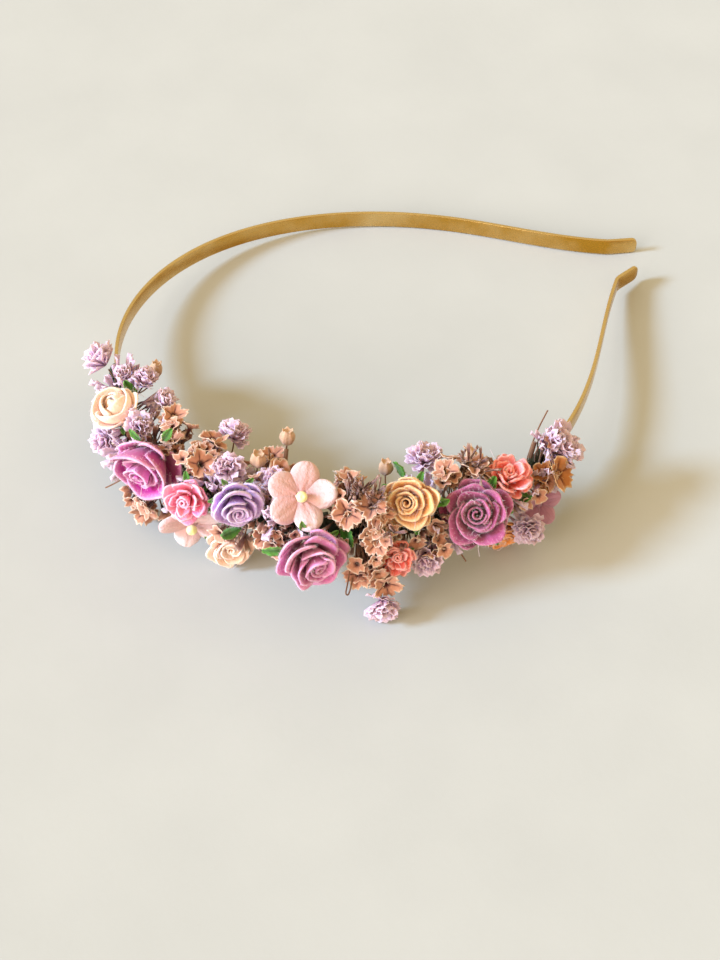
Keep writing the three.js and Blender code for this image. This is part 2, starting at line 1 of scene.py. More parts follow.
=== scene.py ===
# %% [markdown]
# # A flower headband
# A slim gold-coloured strip is bent to an open loop and lies on its edge. Paper roses, round-petalled
# blossoms and tufts of dried flowers are bound along one arm of it with dark florist tape.
# Places and shapes below are in millimetres, in the band's own frame, where the strip's edges are level.
# One rotation and one shift then lay everything on the table, in Blender's metres.

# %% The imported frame
import math

import bpy
import numpy as np
from mathutils import Matrix, Vector


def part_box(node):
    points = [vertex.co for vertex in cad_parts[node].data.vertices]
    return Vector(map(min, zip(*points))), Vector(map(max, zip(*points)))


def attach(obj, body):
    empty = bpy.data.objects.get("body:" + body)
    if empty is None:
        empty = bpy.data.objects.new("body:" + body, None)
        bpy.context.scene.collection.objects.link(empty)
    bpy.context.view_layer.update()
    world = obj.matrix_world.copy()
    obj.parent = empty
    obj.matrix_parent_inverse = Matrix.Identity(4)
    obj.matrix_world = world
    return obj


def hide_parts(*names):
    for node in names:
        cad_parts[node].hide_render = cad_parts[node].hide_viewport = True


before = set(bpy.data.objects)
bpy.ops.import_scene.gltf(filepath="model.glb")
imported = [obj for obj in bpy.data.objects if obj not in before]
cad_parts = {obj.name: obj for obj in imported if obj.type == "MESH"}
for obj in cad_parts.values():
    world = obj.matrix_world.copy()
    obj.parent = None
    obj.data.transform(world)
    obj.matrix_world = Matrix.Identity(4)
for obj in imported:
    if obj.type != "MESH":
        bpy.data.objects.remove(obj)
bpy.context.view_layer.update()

MM = 0.001
print("nodes to dress:", len(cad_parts))

# %% [markdown]
# ## The line of the strip
# Everything hangs on one curve, so it comes first. It could be a drawn spline, but a bent strip is easier
# to state by its bending radius along each arm, because that is how it is formed. The curve is walked in
# small steps. A place is then three numbers: how far along, which way around the strip, how far out.

# %% Walking the two arms
STRIP_WIDTH, STRIP_THICKNESS = 5.0, 1.0
TIP_LENGTH, TIP_CORNER = 8.6, 1.6
WALK_STEP = 0.5
BARE_ARM = dict(along=[0, 40, 80, 120, 160, 206], radius=[94, 53.2, 59, 92.4, 122, -72], flare=11)
FLOWERED_ARM = dict(along=[0, 40, 78, 117, 156, 200], radius=[56.5, 59.3, 68, 62, 136, -115], flare=28)


def walk_arm(arm, side):
    """Rows of distance, x, y and heading along one arm, from the crown to the end of its pad."""
    rows = []
    x = y = heading = 0.0
    bends = 1 / np.array(arm["radius"], float)
    for distance in np.arange(0, arm["along"][-1] + WALK_STEP / 2, WALK_STEP):
        rows.append((distance, x, y * side, heading))
        bend = np.interp(distance, arm["along"], bends)
        x += math.sin(heading + bend * WALK_STEP / 2) * WALK_STEP
        y += math.cos(heading + bend * WALK_STEP / 2) * WALK_STEP
        heading += bend * WALK_STEP
    distance, x, y, heading = rows[-1]
    heading -= math.radians(arm["flare"])
    x += math.sin(heading) * TIP_LENGTH
    y += math.cos(heading) * TIP_LENGTH * side
    rows.append((distance + TIP_LENGTH, x, y, heading))
    return np.array(rows)


WALKS = {-1: walk_arm(BARE_ARM, 1), 1: walk_arm(FLOWERED_ARM, -1)}
UP = np.array([0.0, 0.0, 1.0])


def band_at(along):
    """The strip's inner face at mid width, the way to the flowered tip, and the way out from the head."""
    ahead = 1 if along >= 0 else -1
    walk = WALKS[ahead]
    x, y, heading = (np.interp(abs(along), walk[:, 0], walk[:, column]) for column in (1, 2, 3))
    tangent = np.array([math.sin(heading) * ahead, -math.cos(heading), 0.0])
    return np.array([x, y, 0.0]), tangent, np.array([tangent[1], -tangent[0], 0.0])


BARE_END, FLOWERED_END = WALKS[-1][-1, 0], WALKS[1][-1, 0]
print(f"strip length: {BARE_END + FLOWERED_END:.0f} mm")

# %% Laying it on the table
LIE_ROLL, LIE_PITCH = math.radians(-5.4), math.radians(4.2)
TURN = np.array(Matrix.Rotation(LIE_ROLL, 3, "X") @ Matrix.Rotation(LIE_PITCH, 3, "Y"))


def strip_corners():
    """The corners of the strip's sections, which give its box in the turned frame."""
    corners = []
    for along in np.arange(-BARE_END, FLOWERED_END, WALK_STEP):
        point, _, outward = band_at(along)
        for out in (0, STRIP_THICKNESS):
            for up in (-STRIP_WIDTH / 2, STRIP_WIDTH / 2):
                corners.append(point + outward * out + UP * up)
    return np.array(corners) @ TURN.T


turned = strip_corners()
packed_low, packed_high = (np.array(corner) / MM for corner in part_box("band"))
SHIFT = (packed_low + packed_high) / 2 - (turned.min(0) + turned.max(0)) / 2
LAY = Matrix.Translation(SHIFT * MM) @ Matrix(TURN * MM).to_4x4()
print("shift in mm:", np.round(SHIFT, 2), "box difference:",
      np.round(np.ptp(turned, axis=0) - (packed_high - packed_low), 2))

# %% Where the camera looks from
CAMERA_AZIMUTH, CAMERA_ELEVATION = math.radians(-27.89), math.radians(52)


def direction(azimuth, elevation):
    """The way a camera looks from that azimuth and elevation; azimuth 0 looks along +Y."""
    level = math.cos(elevation)
    return Vector((-math.sin(azimuth) * level, math.cos(azimuth) * level, -math.sin(elevation)))


LOOK = direction(CAMERA_AZIMUTH, CAMERA_ELEVATION)
CAMERA_RIGHT = np.array(LOOK.cross(Vector(UP)).normalized())
CAMERA_UP = np.cross(CAMERA_RIGHT, np.array(LOOK))
print("camera looks along", np.round(np.array(LOOK), 3))

# %% [markdown]
# ## Small helpers for meshes
# Petals are sheets of paper: a grid of points that a formula bends. A real sheet has a thickness, so each
# grid becomes a closed shell with a front, a back and a rim. Solidify could do it too, but with the shell
# made here every vertex keeps what the paint needs: `reach` runs from a petal's foot to its tip, `across`
# from side to side, `edge` grows towards its border, and `tone` is one number for each petal.

# %% Tables, grids and rings


def table(columns, *rows):
    """Rows of values under named columns."""
    return [dict(zip(columns.split(), row)) for row in rows]


def grid(rows, columns):
    """u across from -1 to 1 and v up from 0 to 1, as two grids."""
    return np.meshgrid(np.linspace(-1, 1, columns), np.linspace(0, 1, rows))


def circle(count):
    """Angles once round, evenly apart."""
    return np.linspace(0, 2 * np.pi, count + 1)[:-1]


def polar(radius, angle, height):
    """Points at a radius and an angle round the facing axis, and a height along it."""
    return np.stack(np.broadcast_arrays(radius * np.cos(angle), radius * np.sin(angle), height), -1)


# %% Sheets and shells
PAINT = ("reach", "edge", "tone", "across")


def shell(points, thickness, reach, edge, tone=0.5):
    """A closed sheet round a grid of points, with its paint values."""
    rows, columns, _ = points.shape
    normal = np.cross(np.gradient(points, axis=1), np.gradient(points, axis=0))
    normal /= np.linalg.norm(normal, axis=2, keepdims=True) + 1e-9
    count = rows * columns
    index = np.arange(count).reshape(rows, columns)
    front = np.stack([index[:-1, :-1], index[:-1, 1:], index[1:, 1:], index[1:, :-1]], -1).reshape(-1, 4)
    border = np.concatenate([index[0, :-1], index[:-1, -1], index[-1, :0:-1], index[:0:-1, 0]])
    after = np.roll(border, -1)
    rim = np.stack([border, border + count, after + count, after], -1)
    both = np.concatenate([points + normal * thickness / 2, points - normal * thickness / 2])
    across = np.broadcast_to(np.linspace(-1, 1, columns), reach.shape)
    paint = np.stack([reach, edge, np.full_like(reach, tone), across], -1).reshape(-1, 4)
    return dict(points=both.reshape(-1, 3), faces=np.concatenate([front, front[:, ::-1] + count, rim]),
                paint=np.concatenate([paint, paint]))


def tube_shell(rings, reach, tone=0.5):
    """A body through rings of points. Its ends meet, or close in rings too narrow to see into."""
    rings = np.array(rings)
    rows, columns, _ = rings.shape
    index = np.arange(rows * columns).reshape(rows, columns)
    ahead = np.roll(index, -1, axis=1)
    faces = np.stack([index[:-1], ahead[:-1], ahead[1:], index[1:]], -1).reshape(-1, 4)
    reach = np.repeat(np.array(reach, float), columns)
    across = np.tile(np.abs(np.linspace(-1, 1, columns)), rows)
    paint = np.stack([reach, np.zeros_like(reach), np.full_like(reach, tone), across], -1)
    return dict(points=rings.reshape(-1, 3), faces=faces, paint=paint)


def gather(shells):
    """Many shells as one."""
    starts = np.cumsum([0] + [len(one["points"]) for one in shells])
    return dict(points=np.concatenate([one["points"] for one in shells]),
                faces=np.concatenate([one["faces"] + start for one, start in zip(shells, starts)]),
                paint=np.concatenate([one["paint"] for one in shells]))


# %% From arrays to finished pieces
FLOOR_GAP = 0.05


def to_mesh(name, body):
    """A Blender mesh with the paint values as attributes."""
    mesh = bpy.data.meshes.new(name)
    points, faces = body["points"], body["faces"]
    mesh.vertices.add(len(points))
    mesh.vertices.foreach_set("co", points.astype(np.float32).ravel())
    mesh.loops.add(faces.size)
    mesh.loops.foreach_set("vertex_index", faces.astype(np.int32).ravel())
    mesh.polygons.add(len(faces))
    mesh.polygons.foreach_set("loop_start", np.arange(0, faces.size, 4, dtype=np.int32))
    for column, label in enumerate(PAINT):
        layer = mesh.attributes.new(label, "FLOAT", "POINT")
        layer.data.foreach_set("value", body["paint"][:, column].astype(np.float32))
    mesh.update(calc_edges=True)
    mesh.validate()
    return mesh


def keep(name, mesh, material, slot, *nodes):
    """The finished piece: painted, smooth, above the table, riding on the headband."""
    points = np.zeros(len(mesh.vertices) * 3, np.float32)
    mesh.vertices.foreach_get("co", points)
    points[2::3] = np.maximum(points[2::3], FLOOR_GAP * MM)
    mesh.vertices.foreach_set("co", points)
    mesh.materials.clear()
    mesh.materials.append(material)
    mesh.shade_smooth()
    piece = bpy.data.objects.new(name, mesh)
    bpy.context.scene.collection.objects.link(piece)
    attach(piece, "root")
    if nodes:
        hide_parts(*nodes)
    return piece


# %% [markdown]
# ## Node trees that plant and sweep
# A tuft of petals, a row of tape turns or a bundle of stems is one shape many times over, or a section
# drawn along a line. Geometry Nodes do that well: the tree holds the rule, the modifier's inputs hold the
# sizes, and a seed keeps the chance the same each run. Each result is turned into a plain mesh at once.

# %% Building a tree


def new_tree(name, sockets):
    """An empty tree with geometry in and out and the named inputs."""
    tree = bpy.data.node_groups.new(name, "GeometryNodeTree")
    tree.interface.new_socket("Geometry", in_out="INPUT", socket_type="NodeSocketGeometry")
    for label, kind in sockets.items():
        tree.interface.new_socket(label, in_out="INPUT", socket_type="NodeSocket" + kind)
    tree.interface.new_socket("Geometry", in_out="OUTPUT", socket_type="NodeSocketGeometry")
    return tree, tree.nodes.new("NodeGroupInput").outputs


def add(tree, kind, inputs=None, **settings):
    """A node whose inputs are set to values or linked to other nodes' outputs."""
    made = tree.nodes.new(kind)
    for key, value in settings.items():
        setattr(made, key, value)
    for key, value in (inputs or {}).items():
        if isinstance(value, bpy.types.NodeSocket):
            tree.links.new(value, made.inputs[key])
        else:
            made.inputs[key].default_value = value
    return made


def output(tree, kind, inputs=None, **settings):
    """The first output of such a node."""
    return add(tree, kind, inputs, **settings).outputs[0]


def math_node(tree, operation, first, second=0.0, third=0.0):
    return output(tree, "ShaderNodeMath", {0: first, 1: second, 2: third}, operation=operation)


def named(tree, label, kind="FLOAT"):
    return output(tree, "GeometryNodeInputNamedAttribute", {"Name": label}, data_type=kind)


def sweep(tree, line, section):
    """A section drawn along a line, with closed ends."""
    inputs = {"Curve": line, "Profile Curve": section, "Fill Caps": True}
    return output(tree, "GeometryNodeCurveToMesh", inputs)


def wire_along(tree, line, sides, radius):
    """A round wire of a few sides along a line."""
    ring = output(tree, "GeometryNodeCurvePrimitiveCircle", {"Resolution": sides, "Radius": radius})
    return sweep(tree, line, ring)


# %% Chance in a tree, its end and its use


def random_value(tree, low, high, seed, step):
    """A random number for each point; step keeps two draws of one seed apart."""
    inputs = {2: low, 3: high, "Seed": math_node(tree, "ADD", seed, step)}
    return add(tree, "FunctionNodeRandomValue", inputs, data_type="FLOAT").outputs[1]


def toned(tree, planted, seed, step):
    """Gives every planted copy its own tone."""
    return output(tree, "GeometryNodeStoreNamedAttribute", {
        "Geometry": planted, "Name": "tone", "Value": random_value(tree, 0.0, 1.0, seed, step)},
        domain="INSTANCE", data_type="FLOAT")


def end_tree(tree, geometry, material):
    """Every tree ends alike: real geometry, painted."""
    real = output(tree, "GeometryNodeRealizeInstances", {"Geometry": geometry})
    painted = output(tree, "GeometryNodeSetMaterial", {"Geometry": real, "Material": material})
    tree.links.new(painted, tree.nodes.new("NodeGroupOutput").inputs[0])


def grow(tree, mesh, **values):
    """Runs a tree on a mesh and returns the result as a plain mesh."""
    host = bpy.data.objects.new("host", mesh)
    bpy.context.scene.collection.objects.link(host)
    modifier = host.modifiers.new("grow", "NODES")
    modifier.node_group = tree
    for item in tree.interface.items_tree:
        if item.in_out == "INPUT" and item.name in values:
            modifier[item.identifier] = values[item.name]
    graph = bpy.context.evaluated_depsgraph_get()
    result = bpy.data.meshes.new_from_object(host.evaluated_get(graph), depsgraph=graph)
    host.modifiers.remove(modifier)
    bpy.data.objects.remove(host)
    return result


# %% The sweep: a rounded section along a line
CORNER_POINTS = 3
SWEEP, given = new_tree("swept_strip", {
    "Thickness": "Float", "Width": "Float", "Corner": "Float", "Material": "Material"})
section = output(SWEEP, "GeometryNodeCurvePrimitiveQuadrilateral",
                 {"Width": given["Thickness"], "Height": given["Width"]})
section = output(SWEEP, "GeometryNodeFilletCurve",
                 {"Curve": section, "Count": CORNER_POINTS, "Radius": given["Corner"]}, mode="POLY")
line = output(SWEEP, "GeometryNodeMeshToCurve", {"Mesh": given["Geometry"]})
line = output(SWEEP, "GeometryNodeSetCurveNormal", {"Curve": line}, mode="Z_UP")
swept = sweep(SWEEP, line, section)
place = add(SWEEP, "ShaderNodeSeparateXYZ", {0: output(SWEEP, "GeometryNodeInputPosition")}).outputs
height = math_node(SWEEP, "MULTIPLY", place["Z"], named(SWEEP, "width_share"))
moved = output(SWEEP, "ShaderNodeCombineXYZ", {"X": place["X"], "Y": place["Y"], "Z": height})
swept = output(SWEEP, "GeometryNodeSetPosition", {"Geometry": swept, "Position": moved})
end_tree(SWEEP, swept, given["Material"])
print("nodes in the sweep:", len(SWEEP.nodes))

# %% The tuft: one petal fanned out on a dome by the golden angle
GOLDEN_ANGLE = math.radians(137.508)
LEAST_PETAL, MOST_PETAL = 0.78, 1.12
TUFT, given = new_tree("petal_tuft", {
    "Count": "Int", "Open": "Float", "Sink": "Float", "Uneven": "Float", "First": "Float", "Seed": "Int",
    "Material": "Material"})
points = output(TUFT, "GeometryNodePoints", {"Count": given["Count"]})
index = output(TUFT, "GeometryNodeInputIndex")
share = math_node(TUFT, "DIVIDE", index, given["Count"])
less = math_node(TUFT, "MULTIPLY", given["Uneven"], -1.0)
slips = [random_value(TUFT, less, given["Uneven"], given["Seed"], step) for step in (1, 2, 3)]
lean = math_node(TUFT, "MULTIPLY", math_node(TUFT, "SQRT", share), given["Open"])
lean = math_node(TUFT, "ADD", lean, slips[0])
turn = math_node(TUFT, "MULTIPLY_ADD", index, GOLDEN_ANGLE, slips[1])
rotation = output(TUFT, "ShaderNodeCombineXYZ", {"X": lean, "Y": slips[2], "Z": turn})
depth = math_node(TUFT, "MULTIPLY", share, math_node(TUFT, "MULTIPLY", given["Sink"], -1.0))
spot = output(TUFT, "ShaderNodeCombineXYZ", {"Z": depth})
points = output(TUFT, "GeometryNodeSetPosition", {"Geometry": points, "Position": spot})
is_first = math_node(TUFT, "LESS_THAN", index, 0.5)
more = math_node(TUFT, "MULTIPLY", is_first, math_node(TUFT, "SUBTRACT", given["First"], 1.0))
scale = math_node(TUFT, "ADD", random_value(TUFT, LEAST_PETAL, MOST_PETAL, given["Seed"], 4), more)
planted = output(TUFT, "GeometryNodeInstanceOnPoints", {
    "Points": points, "Instance": given["Geometry"], "Rotation": rotation, "Scale": scale})
end_tree(TUFT, toned(TUFT, planted, given["Seed"], 5), given["Material"])
print("nodes in the tuft:", len(TUFT.nodes))

# %% The planting: one shape set on points, each with its own aim, side and stretch
PLACING = ("aim", "side", "stretch")
PLANT, given = new_tree("planted_shape", {"Shape": "Object", "Seed": "Int", "Material": "Material"})
shape = add(PLANT, "GeometryNodeObjectInfo", {"Object": given["Shape"]}).outputs["Geometry"]
aim, side, stretch = (named(PLANT, label, "FLOAT_VECTOR") for label in PLACING)
facing = output(PLANT, "FunctionNodeAxesToRotation", {"Primary Axis": aim, "Secondary Axis": side},
                primary_axis="Z", secondary_axis="X")
dots = output(PLANT, "GeometryNodeMeshToPoints", {"Mesh": given["Geometry"]})
planted = output(PLANT, "GeometryNodeInstanceOnPoints", {
    "Points": dots, "Instance": shape, "Rotation": facing, "Scale": stretch})
end_tree(PLANT, toned(PLANT, planted, given["Seed"], 1), given["Material"])


def plant(body, places, material, seed):
    """Sets a body on places (point, aim, side, stretch), in the band's frame, and lays the result down."""
    dots = bpy.data.meshes.new("dots")
    dots.from_pydata([place[0] for place in places], [], [])
    for column, label in enumerate(PLACING, 1):
        layer = dots.attributes.new(label, "FLOAT_VECTOR", "POINT")
        layer.data.foreach_set("vector", np.array([place[column] for place in places], np.float32).ravel())
    shape = bpy.data.objects.new("shape", to_mesh("shape", body))
    bpy.context.scene.collection.objects.link(shape)
    mesh = grow(PLANT, dots, Shape=shape, Seed=seed, Material=material)
    bpy.data.objects.remove(shape)
    mesh.transform(LAY)
    return mesh


print("nodes in the planting:", len(PLANT.nodes))

# %% The stems: round wires along drawn lines
WIRE_SIDES = 7
STEMS, given = new_tree("stem_wires", {"Radius": "Float", "Material": "Material"})
line = output(STEMS, "GeometryNodeMeshToCurve", {"Mesh": given["Geometry"]})
end_tree(STEMS, wire_along(STEMS, line, WIRE_SIDES, given["Radius"]), given["Material"])


def draw_stems(lines, radius, material):
    """Wires along lists of points in the band's frame."""
    mesh = bpy.data.meshes.new("lines")
    starts = np.cumsum([0] + [len(line) for line in lines])
    edges = [(start + i, start + i + 1) for line, start in zip(lines, starts) for i in range(len(line) - 1)]
    mesh.from_pydata(np.concatenate(lines).tolist(), edges, [])
    wires = grow(STEMS, mesh, Radius=radius, Material=material)
    wires.transform(LAY)
    return wires


print("nodes in the stems:", len(STEMS.nodes))

# %% The fuzz: short fibres standing on the rims of torn paper
FUZZ_FROM, HAIR_SIDES = 0.8, 3
TOUSLE = 1.1
SHORTEST_HAIR, LONGEST_HAIR = 0.5, 1.3
FUZZ, given = new_tree("rim_fuzz", {
    "Density": "Float", "Radius": "Float", "Length": "Float", "Seed": "Int", "Material": "Material"})
rims = math_node(FUZZ, "GREATER_THAN", named(FUZZ, "edge"), FUZZ_FROM)
spread = add(FUZZ, "GeometryNodeDistributePointsOnFaces", {
    "Mesh": given["Geometry"], "Selection": rims, "Density": given["Density"],
    "Seed": given["Seed"]}).outputs
line = output(FUZZ, "GeometryNodeCurvePrimitiveLine", {"End": (0, 0, 1)})
hair = wire_along(FUZZ, line, HAIR_SIDES, given["Radius"])
tousled = output(FUZZ, "FunctionNodeRandomValue", {
    0: (-TOUSLE, -TOUSLE, -TOUSLE), 1: (TOUSLE, TOUSLE, TOUSLE), "Seed": given["Seed"]},
    data_type="FLOAT_VECTOR")
way = output(FUZZ, "FunctionNodeRotateRotation", {
    "Rotation": spread["Rotation"], "Rotate By": tousled}, rotation_space="LOCAL")
tall = random_value(FUZZ, SHORTEST_HAIR, LONGEST_HAIR, given["Seed"], 1)
tall = math_node(FUZZ, "MULTIPLY", given["Length"], tall)
size = output(FUZZ, "ShaderNodeCombineXYZ", {"X": 1.0, "Y": 1.0, "Z": tall})
planted = output(FUZZ, "GeometryNodeInstanceOnPoints", {
    "Points": spread["Points"], "Instance": hair, "Rotation": way, "Scale": size})
end_tree(FUZZ, planted, given["Material"])
print("trees:", [tree.name for tree in bpy.data.node_groups])

# %% [markdown]
# ## Finishes
# Dyed paper is matt and fibrous: the pulp shows as fine bumps and the handled rims are paler. Towards a
# petal's foot, deep in the flower and in its folds, the colour turns deeper: partly the dye, partly painted
# shade. An image of paper could be laid on each petal, but a recipe needs no unwrapping.
# So a paper finish is one function with four colours, mixed by the petal's own `reach`, `tone` and `edge`,
# and a little noise. Dried petals use the same recipe with more unevenness.

# %% Colours and materials


def colour(code):
    """A linear colour from a hex code as seen on screen."""
    parts = [int(code[i:i + 2], 16) / 255 for i in (1, 3, 5)]
    return [part / 12.92 if part <= 0.04045 else ((part + 0.055) / 1.055) ** 2.4 for part in parts] + [1]


def new_material(name, **shader_values):
    """A material with its node tree and its shader, whose inputs take the values."""
    material = bpy.data.materials.new(name)
    material.use_nodes = True
    tree = material.node_tree
    shader = tree.nodes["Principled BSDF"]
    for label, value in shader_values.items():
        shader.inputs[label.replace("_", " ")].default_value = value
    return material, tree, shader


# %% Noise, ramps and blends


def attribute(tree, label):
    return add(tree, "ShaderNodeAttribute", attribute_name=label).outputs["Fac"]


def noise(tree, scale, detail=3.0, stretch=(1, 1, 1)):
    where = add(tree, "ShaderNodeTexCoord").outputs["Object"]
    where = output(tree, "ShaderNodeMapping", {"Vector": where, "Scale": stretch})
    return output(tree, "ShaderNodeTexNoise", {"Vector": where, "Scale": scale, "Detail": detail})


def ramp(tree, value, *stops):
    """A colour ramp with stops of position and colour."""
    made = add(tree, "ShaderNodeValToRGB", {"Fac": value})
    elements = made.color_ramp.elements
    while len(elements) < len(stops):
        elements.new(0.5)
    for element, (position, shade) in zip(elements, stops):
        element.position = position
        element.color = colour(shade) if isinstance(shade, str) else (shade, shade, shade, 1)
    return made.outputs[0]


def blend(tree, kind, amount, first, second):
    """Two colours mixed; each may be a hex code."""
    first, second = (colour(value) if isinstance(value, str) else value for value in (first, second))
    inputs = {0: amount, 6: first, 7: second}
    return add(tree, "ShaderNodeMix", inputs, data_type="RGBA", blend_type=kind).outputs[2]


def bump(tree, shader, height, distance, strength=1.0):
    made = output(tree, "ShaderNodeBump", {"Height": height, "Distance": distance, "Strength": strength})
    tree.links.new(made, shader.inputs["Normal"])


# %% The paper recipe
FIBRE_SCALE, FIBRE_DEPTH = 1700, 0.0003
WORN_SCALE, MOTTLE_SCALE = 1300, 500
STREAKS = (("across", 7), ("reach", 1.5), ("tone", 40))


def streaks(tree):
    """Fibres that run along a petal: noise drawn on the petal's own across and reach."""
    parts = [math_node(tree, "MULTIPLY", attribute(tree, label), factor) for label, factor in STREAKS]
    where = output(tree, "ShaderNodeCombineXYZ", dict(enumerate(parts)))
    return output(tree, "ShaderNodeTexNoise", {"Vector": where, "Scale": 1.0, "Detail": 3.0})


def paper(row):
    """Matt fibrous paper: deep dye and painted shade in folds, body or other by petal, pale along the rim.
    """
    material, tree, shader = new_material(
        row["name"], Roughness=0.88, Sheen_Weight=0.3, Sheen_Roughness=0.6, Specular_IOR_Level=0.2,
        Subsurface_Weight=row["soft"], Subsurface_Radius=(0.0014, 0.0008, 0.0006), Subsurface_Scale=1.0)
    # Low reach, at a petal's foot and in the folds, takes the deep colour: partly the dye, partly painted
    # shade. On the calyces it also gives their dark veins.
    depth = ramp(tree, attribute(tree, "reach"), (row["fade_from"], 0.0), (row["fade_to"], 1.0))
    petal = ramp(tree, attribute(tree, "tone"), (0.35, row["body"]), (0.65, row["other"]))
    shade = blend(tree, "MIX", depth, row["deep"], petal)
    worn = ramp(tree, noise(tree, WORN_SCALE), (0.35, 0.25), (0.65, 1.0))
    pale = ramp(tree, attribute(tree, "edge"), (row["rim_from"], 0.0), (1.0, row["rim_share"]))
    shade = blend(tree, "MIX", blend(tree, "MULTIPLY", 1.0, pale, worn), shade, row["rim"])
    fibres = streaks(tree)
    mottle = blend(tree, "MIX", 0.5, noise(tree, MOTTLE_SCALE, 4), fibres)
    mottle = ramp(tree, mottle, (0.36, 1 - row["uneven"]), (0.62, 1.0))
    shade = blend(tree, "MULTIPLY", 1.0, shade, mottle)
    tree.links.new(shade, shader.inputs["Base Color"])
    relief = blend(tree, "MIX", row["streak"], noise(tree, FIBRE_SCALE, 5, (1, 0.5, 1)), fibres)
    bump(tree, shader, relief, FIBRE_DEPTH)
    return material


# %% The paper finishes
FINISHES = table(
    "name deep body other rim uneven rim_from rim_share soft fade_from fade_to streak",
    ("plum_paper", "#a81270", "#f29cd6", "#de7cc2", "#f8d2ec", 0.2, 0.72, 0.5, 0.18, 0.3, 0.95, 0.5),
    ("plum_hood_paper", "#b4188a", "#f09cd6", "#e486c8", "#f8d6ee", 0.2, 0.84, 0.6, 0.18, 0.75, 1.02, 0.5),
    # This row is the plum paper darkened all over: painted shade for plum_right, which lies away from the
    # light.
    ("dark_plum_paper", "#44041e", "#b8548c", "#982e68", "#e0a2c6", 0.2, 0.72, 0.45, 0.18, 0.3, 1.0, 0.5),
    ("lavender_paper", "#9a50bc", "#e4c0f4", "#cea8ea", "#f4e6fc", 0.2, 0.72, 0.6, 0.18, 0.22, 0.9, 0.5),
    ("peach_paper", "#bc4a00", "#ffcc96", "#fab668", "#ffe8c8", 0.2, 0.72, 0.7, 0.18, 0.38, 1.0, 0.5),
    ("ivory_paper", "#f0a080", "#ffdcca", "#fccfb8", "#ffeee2", 0.08, 0.72, 0.4, 0.18, 0.12, 0.62, 0.5),
    ("pink_paper", "#f02468", "#ffb0d0", "#ff88ba", "#ffd4e6", 0.1, 0.72, 0.5, 0.18, 0.2, 0.8, 0.5),
    ("coral_paper", "#ee3410", "#ff9ca2", "#ff6e5e", "#ffd0d0", 0.1, 0.72, 0.55, 0.18, 0.2, 0.8, 0.5),
    ("orange_paper", "#c85a10", "#f09448", "#f09448", "#f8c490", 0.15, 0.72, 0.5, 0.18, 0.12, 0.62, 0.5),
    ("blush_paper", "#cc9090", "#dab4b8", "#e4cad0", "#f6e0e0", 0.14, 0.8, 0.95, 0.18, 0.12, 0.62, 0.12),
    ("mauve_paper", "#985878", "#d4a0be", "#bc88a6", "#e8c8de", 0.2, 0.75, 0.95, 0.35, 0.12, 0.62, 0.5),
    ("lilac_petals", "#b884b0", "#f0c8e2", "#deb6da", "#f6deee", 0.2, 0.5, 0.45, 0.4, 0.12, 0.62, 0.5),
    ("rusty_calyx", "#561404", "#d0884a", "#a85c24", "#f4d0a0", 0.28, 0.6, 0.95, 0.15, 0.05, 0.6, 0.5),
    ("dried_calyx", "#480a1c", "#dca084", "#b47060", "#fdead6", 0.28, 0.6, 0.95, 0.15, 0.05, 0.6, 0.5),
    ("seed_husk", "#8a5a46", "#d4ac90", "#d4ac90", "#ead0b8", 0.35, 0.6, 0.95, 0.18, 0.12, 0.62, 0.5),
    ("leaf_paper", "#245a14", "#62aa3a", "#3a7c26", "#8cc45e", 0.3, 0.8, 0.95, 0.18, 0.12, 0.62, 0.5),
    ("dried_bract", "#38121a", "#84524e", "#5e2e36", "#c89888", 0.35, 0.6, 0.95, 0.3, 0.12, 0.62, 0.5),
    ("dried_stalk", "#7a5238", "#7a5238", "#7a5238", "#a07a58", 0.4, 0.72, 0.95, 0.18, 0.12, 0.62, 0.5),
    ("paper_fibre", "#f0d6e4", "#f8e8f2", "#f8e8f2", "#fff8fc", 0.1, 0.72, 0.95, 0.18, 0.12, 0.62, 0.5))
PAPERS = {row["name"]: paper(row) for row in FINISHES}
print("paper finishes:", len(PAPERS))

# %% [markdown]
# ## The metal strip
# The band is a spring strip with a gold-coloured plating. Its edges are rolled, so it is swept as a rounded
# section along the walked line, and the section narrows round the corners of the two end pads. A fine drawn
# grain along the strip breaks up the reflections, which would otherwise look like glass. The faces that
# point up take a paler, duller cream-gold: painted light for the lit top edges, which also keeps them
# from mirroring the warm sky as a bright line.

# %% Gold plating
CLOUD_SCALE, WEAR_SCALE, GRAIN_SCALE, GRAIN_DEPTH = 60, 900, 1500, 0.00001
gold, tree, shader = new_material("gold_plating", Metallic=1.0, Anisotropic=0.35)
tint = ramp(tree, noise(tree, CLOUD_SCALE, 4), (0.35, "#c39032"), (0.7, "#e4c283"))
# Faces that point up turn a paler cream-gold: painted light for the lit top edges.
normal = add(tree, "ShaderNodeNewGeometry").outputs["Normal"]
upward = add(tree, "ShaderNodeSeparateXYZ", {0: normal}).outputs["Z"]
tint = blend(tree, "MIX", ramp(tree, upward, (0.5, 0.0), (0.8, 0.85)), tint, "#c4b58e")
tree.links.new(tint, shader.inputs["Base Color"])
worn = ramp(tree, noise(tree, WEAR_SCALE, 3, (1, 1, 6)), (0.3, 0.2), (0.75, 0.36))
tree.links.new(worn, shader.inputs["Roughness"])
bump(tree, shader, noise(tree, GRAIN_SCALE, 2, (1, 1, 8)), GRAIN_DEPTH, 0.5)
print("nodes in the plating:", len(tree.nodes))

